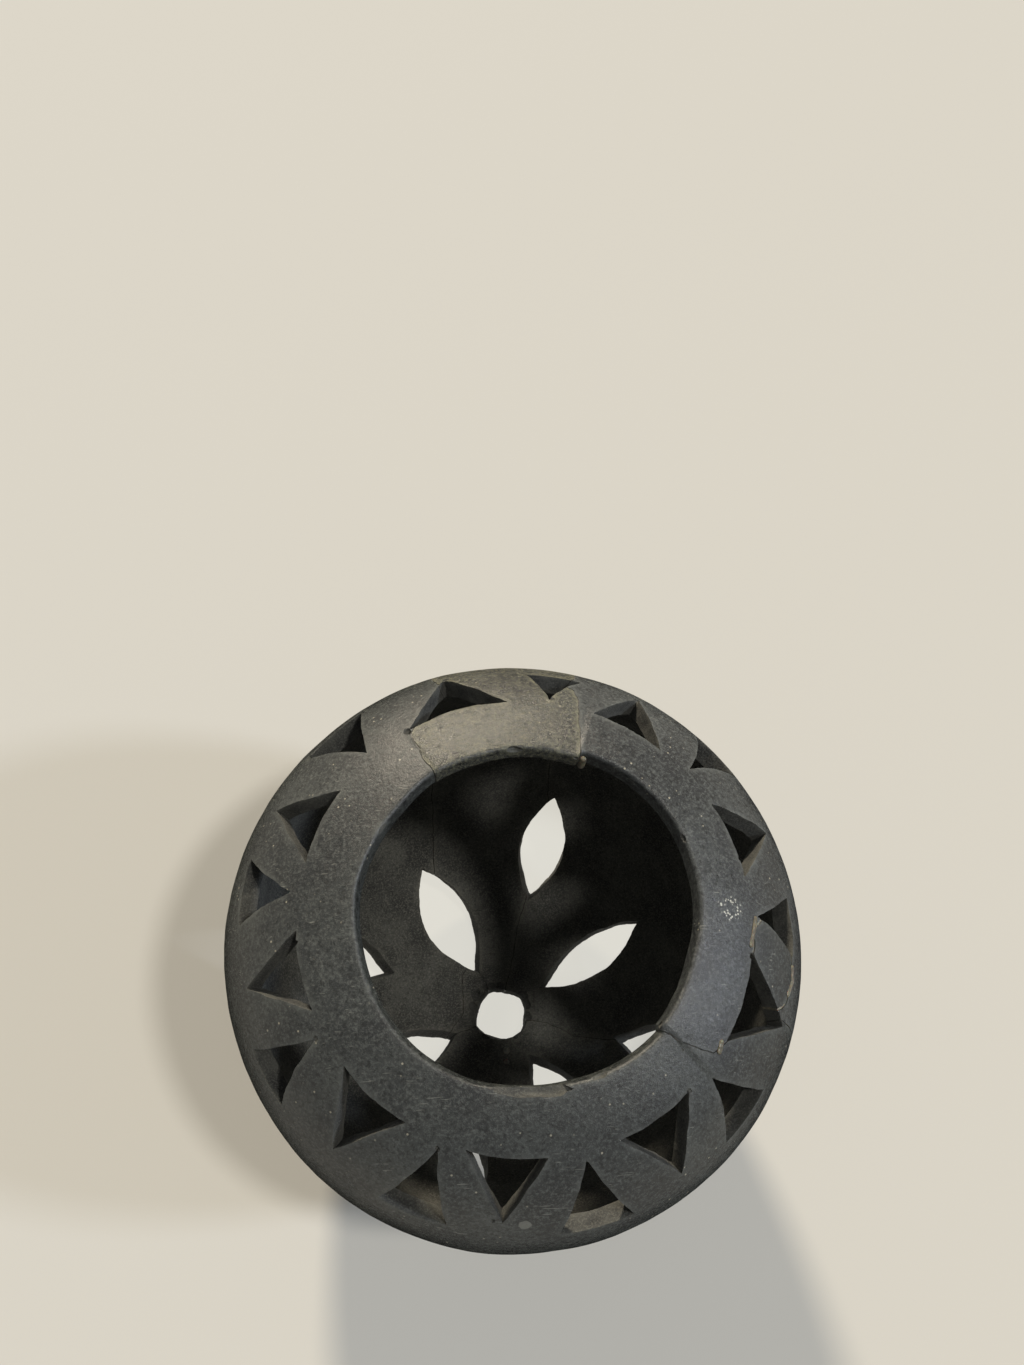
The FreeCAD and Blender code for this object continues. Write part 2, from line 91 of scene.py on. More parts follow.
# --------------------------------------------------------------------- shape
@dataclass
class PotShape:
    """The turned form of the pot's wall, in millimetres."""

    body_radius: float
    shoulder_rise: float = 85.0
    shoulder_power: float = 2.5
    belly_drop: float = 128.0
    belly_power: float = 2.1
    mouth_radius: float = 68.5
    wall: float = 8.0
    foot_radius: float = 34.0
    hole: tuple[float, float] = (2.5, -15.0)
    lip_rounding: float = 1.7
    base_end: float = 8.0
    slant_ends: tuple[float, float] = (75.0, -88.5)
    slant_steps: int = 4000
    pull_start: float = 75.0
    pull_span: float = 60.0
    base_reach: float = 45.0
    halvings: int = 40
    equator: float = field(init=False)
    table: dict[str, np.ndarray] = field(init=False)

    def __post_init__(self) -> None:
        """Work out the belly's height and the arc length along the profile."""
        share = 1 - (self.foot_radius / self.body_radius) ** self.belly_power
        self.equator = self.belly_drop * share ** (1 / self.belly_power)
        slant = np.radians(np.linspace(*self.slant_ends, self.slant_steps))
        above = slant >= 0
        power, rise = self.curve_of(above)
        radius = self.body_radius * np.cos(slant) ** (2 / power)
        height = np.sign(slant) * rise * np.abs(np.sin(slant)) ** (2 / power)
        steps = np.hypot(np.diff(radius), np.diff(height))
        along = np.concatenate([[0.0], np.cumsum(steps)])
        self.table = {"along": along, "radius": radius, "height": height, "above": above}

    def curve_of(self, above: np.ndarray) -> tuple[np.ndarray, np.ndarray]:
        """Power and rise of the profile's curve, over the belly and under it."""
        power = np.where(above, self.shoulder_power, self.belly_power)
        return power, np.where(above, self.shoulder_rise, self.belly_drop)

    def way_out(self, share: float) -> float:
        """Plan radius that is this share of the way from the lip to the belly."""
        return self.mouth_radius + share * (self.body_radius - self.mouth_radius)

    def along_at(self, radius: np.ndarray, above: bool) -> np.ndarray:
        """Arc length at which the shoulder, or the belly, has a plan radius."""
        part = self.table["above"] == above
        radii, along = self.table["radius"][part], self.table["along"][part]
        order = np.argsort(radii)
        return np.interp(radius, radii[order], along[order])

    def height_at(self, radius: np.ndarray, above: bool) -> np.ndarray:
        """Height over the belly of the outer face at a plan radius."""
        power = self.shoulder_power if above else self.belly_power
        rise = self.shoulder_rise if above else -self.belly_drop
        inside = np.clip(1 - (np.asarray(radius) / self.body_radius) ** power, 0, 1)
        return rise * inside ** (1 / power)

    def normal_at(self, plan: np.ndarray, height: np.ndarray) -> np.ndarray:
        """Outward normals of the outer face at plan points and heights."""
        power, rise = self.curve_of(height >= 0)
        radius = np.hypot(plan[:, 0], plan[:, 1])
        out = radius ** (power - 1) / self.body_radius**power
        up = np.sign(height) * np.abs(height) ** (power - 1) / rise**power
        length = np.hypot(out, up)
        side = plan / radius[:, None]
        return np.column_stack([side * (out / length)[:, None], up / length])

    def place(
        self, bearing: np.ndarray, along: np.ndarray, depth: np.ndarray
    ) -> tuple[np.ndarray, np.ndarray]:
        """Points of the wall and their outward normals.

        Args:
            bearing: bearings in radians.
            along: arc lengths down the profile from near the mouth's axis.
            depth: how deep each point lies in the wall.

        Returns:
            The points, with heights over the resting plane, and the normals.
        """
        rho = np.interp(along, self.table["along"], self.table["radius"])
        height = np.interp(along, self.table["along"], self.table["height"])
        below = height < 0
        pull = np.clip((self.pull_start - rho) / self.pull_span, 0, 1)
        pull = np.where(below, pull * pull * (3 - 2 * pull), 0)
        plan = rho[:, None] * np.column_stack([np.cos(bearing), np.sin(bearing)])
        plan = plan + pull[:, None] * np.array(self.hole)
        radius = np.hypot(plan[:, 0], plan[:, 1])
        height = np.where(pull > 0, self.height_at(radius, False), height)
        normal = self.normal_at(plan, height)
        point = np.column_stack([plan, self.equator + height]) - depth[:, None] * normal
        over = point[:, 2] - depth
        floor = depth + 0.5 * (over + np.sqrt(over**2 + 1.0))
        point[:, 2] = np.where(below & (radius < self.pull_span), floor, point[:, 2])
        return point, normal

    def spot(
        self, bearing: float, radius: float, above: bool = True, depth: float = 0.0
    ) -> Vector:
        """One point of the wall at a bearing and a plan radius."""
        along = self.along_at(np.array([radius]), above)
        angle = np.array([math.radians(bearing)])
        rho = np.interp(along, self.table["along"], self.table["radius"])
        height = self.height_at(rho, above)
        plan = rho[:, None] * np.column_stack([np.cos(angle), np.sin(angle)])
        normal = self.normal_at(plan, height)
        point = np.column_stack([plan, self.equator + height]) - depth * normal
        return Vector(point[0])

    def facing(self, point: Vector, above: bool = True) -> Vector:
        """Outward normal of the wall over or under a point's plan position."""
        plan = np.array([[point.x, point.y]])
        height = self.height_at(np.hypot(point.x, point.y), above) * np.ones(1)
        return Vector(self.normal_at(plan, height)[0])

    def depth_of(self, points: np.ndarray) -> np.ndarray:
        """About how deep points lie in the wall, from 0 outside to `wall` inside."""
        height = points[:, 2] - self.equator
        power, rise = self.curve_of(height >= 0)
        radius = np.hypot(points[:, 0], points[:, 1])
        value = (radius / self.body_radius) ** power + (np.abs(height) / rise) ** power
        size = value ** (1 / power)
        slope = np.hypot(
            radius ** (power - 1) / self.body_radius**power,
            np.abs(height) ** (power - 1) / rise**power,
        )
        deep = (1 - size) * size ** (power - 1) / np.maximum(slope, 1e-6)
        over_base = (height < 0) & (radius < self.base_reach)
        return np.where(over_base, np.maximum(points[:, 2], 0), deep)

    def base_spot(self, bearing: float, reach: float) -> Vector:
        """Inner face of the base at a straight distance from the hole's middle."""
        middle = np.array([self.hole[0], self.hole[1]])
        centre = self.inner_base(middle)
        way = np.array([math.cos(math.radians(bearing)), math.sin(math.radians(bearing))])
        low, high = 0.0, reach
        for _ in range(self.halvings):
            step = (low + high) / 2
            if (self.inner_base(middle + step * way) - centre).length < reach:
                low = step
            else:
                high = step
        return self.inner_base(middle + low * way)

    def inner_base(self, plan: np.ndarray) -> Vector:
        """Point of the base's inner face over a plan position."""
        radius = float(np.hypot(*plan))
        radii = self.table["radius"][~self.table["above"]]
        heights = self.table["height"][~self.table["above"]]
        flat = np.column_stack([radii, np.zeros(len(radii))])
        normal = self.normal_at(flat, np.minimum(heights, -1e-6))
        inner_radius = radii - self.wall * normal[:, 0]
        inner_height = heights - self.wall * normal[:, 2]
        order = np.argsort(inner_radius)
        height = np.interp(radius, inner_radius[order], inner_height[order])
        return Vector((plan[0], plan[1], self.equator + float(height)))


@dataclass
class HandFinish:
    """What the potter's hand, the break and the mending did to the turned form."""

    seed: Vector = field(default_factory=lambda: Vector((3.7, 11.2, 5.9)))
    lip: dict[float, float] = field(
        default_factory=lambda: {
            2: 68.8, 12: 69.4, 24: 70.6, 36: 71.2, 50: 71.4, 62: 70.8, 69.3: 70.3,
            70.3: 67.4, 78: 67.3, 91: 67.6, 107: 66.8, 122.8: 67.2, 123.8: 67.9,
            140: 66.6, 157: 67.7, 172: 68.9, 191: 68.4, 212: 69.3, 229: 69.8,
            249: 69.4, 264: 67.8, 281: 67.4, 298: 68.4, 315.8: 69.4,
            316.8: 67.3, 330: 66.9, 344: 67.0, 353: 68.2,
        }
    )
    # Each step: its bearing, how fast it fades, the bearings it lies between, its height.
    steps: tuple[tuple[float, float, float, float, float], ...] = (
        (317.2, 14, 317.2, 360, 0.75), (72, 10, 71, 100, -0.35), (122, 9, 100, 122.4, 0.35),
    )
    step_end: float = 108.0
    step_fade: float = 20.0

    def lip_radius(self, bearing: np.ndarray) -> np.ndarray:
        """Radius of the lip's outer edge at bearings in radians."""
        degrees = np.degrees(bearing) % 360
        marks = np.array(sorted(self.lip))
        radii = np.array([self.lip[mark] for mark in marks])
        return np.interp(degrees, marks, radii, period=360)

    def swell(self, points: np.ndarray, size: float, octaves: int) -> np.ndarray:
        """Seeded cloudy values from -1 to 1, with bumps about `size` across."""
        scaled = points / size + np.array(self.seed)
        return np.array([noise.fractal(Vector(p), 0.7, 2.0, octaves) for p in scaled])

    def step(self, bearing: np.ndarray, radius: np.ndarray, above: np.ndarray) -> np.ndarray:
        """How proud the mended sherds stand of their neighbours, near the breaks."""
        degrees = np.degrees(bearing) % 360
        rim = above * np.clip((self.step_end - radius) / self.step_fade, 0, 1)
        proud = np.zeros(len(degrees))
        for middle, width, start, end, height in self.steps:
            fade = np.exp(-((degrees - middle) / width) ** 2)
            proud += height * (fade * ((degrees > start) & (degrees < end)))
        return rim * proud


# --------------------------------------------------------------------- meshes
def mesh_object(name: str, work: bmesh.types.BMesh) -> bpy.types.Object:
    """Turn a bmesh in millimetres into an object in metres."""
    mesh = bpy.data.meshes.new(name)
    work.to_mesh(mesh)
    work.free()
    mesh.transform(Matrix.Scale(MM, 4))
    made = bpy.data.objects.new(name, mesh)
    bpy.context.scene.collection.objects.link(made)
    return made


def read_points(mesh: bpy.types.Mesh, unit: float = MM) -> np.ndarray:
    """A mesh's vertices in millimetres, or in another unit."""
    flat = np.zeros(len(mesh.vertices) * 3, np.float64)
    mesh.vertices.foreach_get("co", flat)
    return flat.reshape(-1, 3) / unit


def read_numbers(items: Any, name: str) -> np.ndarray:
    """One whole number from each item of a mesh."""
    numbers = np.zeros(len(items), np.int32)
    items.foreach_get(name, numbers)
    return numbers


def write_points(mesh: bpy.types.Mesh, points: np.ndarray) -> None:
    """Put vertices, in millimetres, back into a mesh."""
    mesh.vertices.foreach_set("co", (points * MM).astype(np.float32).ravel())
    mesh.update()


def combine(
    target: bpy.types.Object, tool: bpy.types.Object, operation: str = "DIFFERENCE"
) -> None:
    """Apply a boolean of one object to another, and delete the tool."""
    cut = target.modifiers.new("cut", "BOOLEAN")
    cut.solver = "MANIFOLD"
    cut.operation = operation
    cut.object = tool
    bpy.context.view_layer.update()
    depsgraph = bpy.context.evaluated_depsgraph_get()
    result = bpy.data.meshes.new_from_object(target.evaluated_get(depsgraph))
    target.modifiers.remove(cut)
    old = target.data
    target.data = result
    bpy.data.meshes.remove(old)
    bpy.data.objects.remove(tool)


def twin(source: bpy.types.Object) -> bpy.types.Object:
    """A copy of an object with a mesh of its own."""
    made = source.copy()
    made.data = source.data.copy()
    bpy.context.scene.collection.objects.link(made)
    return made


def loose_parts(source: bpy.types.Object, least: int) -> list[bpy.types.Object]:
    """Split an object into its connected parts, and drop crumbs.

    Args:
        source: the object, which is used up.
        least: the fewest vertices that a part may have.

    Returns:
        The parts, largest first.
    """
    bpy.ops.object.select_all(action="DESELECT")
    source.select_set(True)
    bpy.context.view_layer.objects.active = source
    bpy.ops.object.mode_set(mode="EDIT")
    bpy.ops.mesh.select_all(action="SELECT")
    bpy.ops.mesh.separate(type="LOOSE")
    bpy.ops.object.mode_set(mode="OBJECT")
    parts = sorted(bpy.context.selected_objects, key=lambda part: -len(part.data.vertices))
    kept = [part for part in parts if len(part.data.vertices) >= least]
    for crumb in parts[len(kept):]:
        bpy.data.objects.remove(crumb)
    return kept


def box_distance(part: bpy.types.Object, node: str) -> float:
    """How far an object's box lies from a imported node's box, corner to corner."""
    low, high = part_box(node)
    points = read_points(part.data) * MM
    own_low, own_high = Vector(points.min(0)), Vector(points.max(0))
    return (own_low - low).length + (own_high - high).length


@dataclass
class WallBuilder:
    """Makes the unbroken shell of the pot between two depths."""

    shape: PotShape
    hand: HandFinish
    rows: int = 150
    columns: int = 420
    lip_edge: float = 1.1
    lip_level: float = 0.001
    outer_edge: float = 1.97
    # Size across of the broad swells, the dabs and the fine marks, and their heights.
    sizes: tuple[float, float, float] = (55.0, 19.0, 5.0)
    outside_heights: tuple[float, float, float] = (0.55, 0.16, 0.05)
    inside_heights: tuple[float, float] = (0.75, 0.16)
    calm_start: float = 66.0
    calm_span: float = 30.0
    calm_least: float = 0.12

    def tube(self, lip_cuts: int) -> bpy.types.Object:
        """Straight tube that the wall is formed from: one unit thick and tall."""
        work = bmesh.new()
        corners = (Vector((2, 0, 0)), Vector((2, 0, 1)), Vector((1, 0, 1)), Vector((1, 0, 0)))
        profile = []
        for index, count in enumerate((self.rows, 3, self.rows, lip_cuts)):
            start, end = corners[index], corners[(index + 1) % 4]
            profile += [work.verts.new(start.lerp(end, step / count)) for step in range(count)]
        for start, end in zip(profile, profile[1:] + profile[:1]):
            work.edges.new((start, end))
        bmesh.ops.spin(
            work,
            geom=list(work.verts) + list(work.edges),
            cent=(0, 0, 0),
            axis=(0, 0, 1),
            angle=math.tau,
            steps=self.columns,
            use_merge=True,
        )
        for face in work.faces:
            middle = face.calc_center_median()
            reach = math.hypot(middle.x, middle.y)
            on_lip = middle.z < self.lip_level and reach > self.lip_edge
            skin = Surface.OUTSIDE if on_lip or reach > self.outer_edge else Surface.INSIDE
            face.material_index = skin.value
        bmesh.ops.recalc_face_normals(work, faces=list(work.faces))
        mesh = bpy.data.meshes.new("wall")
        work.to_mesh(mesh)
        work.free()
        made = bpy.data.objects.new("wall", mesh)
        bpy.context.scene.collection.objects.link(made)
        return made

    def build(
        self, outer_depth: float, inner_depth: float, lip_cuts: int = 12
    ) -> bpy.types.Object:
        """Throw the tube onto the pot's form, then make it uneven.

        Args:
            outer_depth: depth in the wall of the shell's outer face.
            inner_depth: depth in the wall of its inner face.
            lip_cuts: how many rings of faces lie across the lip.

        Returns:
            The closed shell.
        """
        made = self.tube(lip_cuts)
        tube = read_points(made.data, 1.0)
        bearing = np.arctan2(tube[:, 1], tube[:, 0])
        share = np.clip(2 - np.hypot(tube[:, 0], tube[:, 1]), 0, 1)
        share = 0.5 - 0.5 * np.cos(np.pi * share)
        depth = outer_depth + share * (inner_depth - outer_depth)
        rounding = self.shape.lip_rounding
        to_skin = np.minimum(depth - outer_depth, inner_depth - depth)
        short = np.clip(rounding - to_skin, 0, rounding)
        lip = self.shape.along_at(self.hand.lip_radius(bearing), True) + outer_depth
        end = self.shape.along_at(np.array([self.shape.base_end]), False)
        back = rounding - np.sqrt(rounding**2 - short**2)
        along = lip + back + tube[:, 2] * (end - lip - rounding)
        points, normal = self.shape.place(bearing, along, depth)
        write_points(made.data, self.uneven(points, normal, bearing, depth))
        return made

    def uneven(
        self, points: np.ndarray, normal: np.ndarray, bearing: np.ndarray, depth: np.ndarray
    ) -> np.ndarray:
        """Move points in and out as a hand-built and hand-scraped wall is.

        Args:
            points: the points.
            normal: the wall's outward normal at each point.
            bearing: bearings in radians.
            depth: how deep each point lies in the wall.

        Returns:
            The moved points.
        """
        broad, dabs, fine = (
            self.hand.swell(np.roll(points, -turn, axis=1), size, 2)
            for turn, size in enumerate(self.sizes)
        )
        inside = np.clip(depth / self.shape.wall, 0, 1)
        radius = np.hypot(points[:, 0], points[:, 1])
        above = (points[:, 2] > self.shape.equator).astype(float)
        tall, dab, mark = self.outside_heights
        lift = tall * broad + (1 - inside) * (dab * dabs + mark * fine)
        calm = np.clip((radius - self.calm_start) / self.calm_span, self.calm_least, 1)
        calm = calm * above + (1 - above)
        dab, mark = self.inside_heights
        lift += inside * (dab * dabs + mark * fine) * calm
        lift += self.hand.step(bearing, radius, above)
        foot = np.clip((points[:, 2] - depth) / self.shape.wall, 0, 1)
        return points + normal * (lift * foot)[:, None]


# --------------------------------------------------------------------- tools
@dataclass
class Knife:
    """Makes the uneven tools that pierce, chip and break the wall."""

    shape: PotShape
    hand: HandFinish
    out_reach: float = 9.0
    in_reach: float = 20.0
    grain: float = 1.3
    slab_step: float = 2.4

    def stray(self, point: Vector, size: float) -> Vector:
        """Seeded direction in which a cut strays, which turns round every `size`."""
        return noise.noise_vector(point / size + self.hand.seed)

    def drive(
        self, work: bmesh.types.BMesh, faces: list[Any], normal: Vector, far: float, step: float
    ) -> None:
        """Sweep flat faces through the wall, with sides cut into even steps.

        Args:
            work: the mesh that the faces are in.
            faces: the faces, which lie square to `normal`.
            normal: the direction out of the wall.
            far: how far the faces are swept against the normal.
            step: about how long each step of the sides is.
        """
        grown = bmesh.ops.extrude_face_region(work, geom=faces)
        moved = [item for item in grown["geom"] if isinstance(item, bmesh.types.BMVert)]
        bmesh.ops.translate(work, verts=moved, vec=-normal * far)
        posts = [e for e in work.edges if abs((e.verts[0].co - e.verts[1].co).dot(normal)) > step]
        cuts = round(far / step)
        bmesh.ops.subdivide_edges(work, edges=posts, cuts=cuts, use_grid_fill=True)

    def as_tool(self, work: bmesh.types.BMesh) -> bmesh.types.BMesh:
        """The mesh with its faces outwards and marked as cut clay."""
        for face in work.faces:
            face.material_index = Surface.CUT.value
        bmesh.ops.recalc_face_normals(work, faces=list(work.faces))
        return work

    def curve(self, ends: Sequence[Vector], bulge: Vector) -> list[Vector]:
        """Points about a grain apart from one corner almost to the next, bowed."""
        start, end = ends
        count = max(3, round((end - start).length / self.grain))
        points = []
        for index in range(count):
            share = index / count
            points.append(start.lerp(end, share) + bulge * (4 * share * (1 - share)))
        return points

    def flat(self, points: Iterable[Vector], centre: Vector, normal: Vector) -> list[Vector]:
        """Points dropped square onto the plane through a centre."""
        return [point - normal * (point - centre).dot(normal) for point in points]

    def prism(
        self, outline: list[Vector], normal: Vector, wander: float, taper: float = 0.0
    ) -> bmesh.types.BMesh:
        """Closed tool that a flat outline sweeps through the wall.

        Args:
            outline: the closed outline, on the wall's outer face.
            normal: the direction out of the wall.
            wander: how far the cut strays, in millimetres.
            taper: how much smaller the cut is at the inner face.

        Returns:
            The tool, whose sides are as dense as the wall.
        """
        work = bmesh.new()
        heart = sum(outline, Vector()) / len(outline)
        ring = [work.verts.new(point + normal * self.out_reach) for point in outline]
        face = work.faces.new(ring)
        self.drive(work, [face], normal, self.out_reach + self.in_reach, self.grain)
        for vert in work.verts:
            deep = -(vert.co - heart).dot(normal)
            axis_point = heart - normal * deep
            vert.co = axis_point + (vert.co - axis_point) * (1 - taper * deep / self.shape.wall)
            slow, quick = self.stray(vert.co, 9.0), self.stray(vert.co, 2.2)
            vert.co += wander * slow + 0.38 * wander * quick
        return self.as_tool(work)

    def triangle(
        self, corners: Sequence[Vector], bows: Sequence[float], wander: float
    ) -> bmesh.types.BMesh:
        """Tool for a triangle from three corners on the wall's outer face.

        Args:
            corners: the three corners, anticlockwise from outside.
            bows: how far each side bows out of the triangle at its middle.
            wander: how far the cut strays.

        Returns:
            The tool.
        """
        heart = sum(corners, Vector()) / 3
        normal = self.shape.facing(heart)
        radius = math.hypot(heart.x, heart.y)
        seat = self.shape.spot(math.degrees(math.atan2(heart.y, heart.x)), radius)
        flat = self.flat(corners, seat, normal)
        outline = []
        for index, bow in enumerate(bows):
            start, end = flat[index], flat[(index + 1) % 3]
            side = (end - start).cross(normal).normalized()
            outline += self.curve((start, end), side * bow)
        return self.prism(outline, normal, wander, taper=0.02)

    def leaf(self, bearing: float, width: float, start: float, end: float) -> bmesh.types.BMesh:
        """Tool for a pointed leaf in the base."""
        near = self.shape.base_spot(bearing, start)
        far = self.shape.base_spot(bearing, end)
        middle = self.shape.base_spot(bearing, (start + end) / 2)
        normal = self.shape.facing(middle, False)
        near, far = self.flat((near, far), middle, normal)
        across = normal.cross(far - near).normalized()
        outline = self.curve((near, far), across * (width / 2))
        outline += self.curve((far, near), across * (-width / 2))
        outer = [point + normal * self.shape.wall for point in outline]
        return self.prism(outer, normal, wander=0.75, taper=-0.03)

    def hole(self, radii: Sequence[float]) -> bmesh.types.BMesh:
        """Tool for the broken hole, chipped wider at the floor inside."""
        centre = Vector((self.shape.hole[0], self.shape.hole[1], 0))
        corners = []
        for index, radius in enumerate(radii):
            angle = math.tau * index / len(radii)
            corners.append(centre + Vector((math.cos(angle), math.sin(angle), 0)) * radius)
        outline = []
        for index, corner in enumerate(corners):
            following = corners[(index + 1) % len(corners)]
            outline += self.curve((corner, following), (corner - centre).normalized() * 0.7)
        return self.prism(outline, Vector((0, 0, -1)), wander=1.25, taper=-0.08)

    def slab(
        self,
        path: list[Vector],
        gap: float,
        normal: Vector,
        reach: tuple[float, float],
        wander: float = 0.7,
    ) -> bmesh.types.BMesh:
        """Thin wavy tool that breaks the wall along a path.

        Args:
            path: points of the break on a plane square to `normal`.
            gap: the width of the break.
            normal: the direction in which the slab is driven.
            reach: how far it goes along and against the normal.
            wander: how far the break strays from the path.

        Returns:
            The tool.
        """
        line = []
        for start, end in zip(path, path[1:]):
            line += self.curve((start, end), Vector())
        line.append(path[-1])
        for index, point in enumerate(line[1:-1], start=1):
            run = (line[index + 1] - line[index - 1]).cross(normal).normalized()
            stray = noise.noise(point / 6.0 + self.hand.seed)
            stray += 0.5 * noise.noise(point / 1.9 + self.hand.seed)
            line[index] = point + run * (stray * wander)
        left, right = [], []
        for index, point in enumerate(line):
            before, after = line[max(index - 1, 0)], line[min(index + 1, len(line) - 1)]
            side = (after - before).cross(normal).normalized() * (gap / 2)
            left.append(point + side)
            right.append(point - side)
        work = bmesh.new()
        left, right = (
            [work.verts.new(point + normal * reach[0]) for point in row] for row in (left, right)
        )
        faces = []
        for index in range(len(line) - 1):
            quad = (left[index], left[index + 1], right[index + 1], right[index])
            faces.append(work.faces.new(quad))
        self.drive(work, faces, normal, reach[0] + reach[1], self.slab_step)
        for vert in work.verts:
            vert.co += 0.5 * wander * self.stray(vert.co, 5.0)
        return self.as_tool(work)

    def flake(self, where: Vector, size: Vector, turn: float) -> bmesh.types.BMesh:
        """Rough rounded tool that knocks one chip off an edge."""
        work = bmesh.new()
        bmesh.ops.create_icosphere(work, subdivisions=3, radius=1.0)
        for vert in work.verts:
            vert.co *= 1 + 0.34 * noise.noise(vert.co * 1.6 + where)
        bmesh.ops.scale(work, verts=work.verts, vec=size)
        bmesh.ops.rotate(
            work, verts=work.verts, cent=(0, 0, 0), matrix=Matrix.Rotation(turn, 3, "Z")
        )
        bmesh.ops.translate(work, verts=work.verts, vec=where)
        return self.as_tool(work)


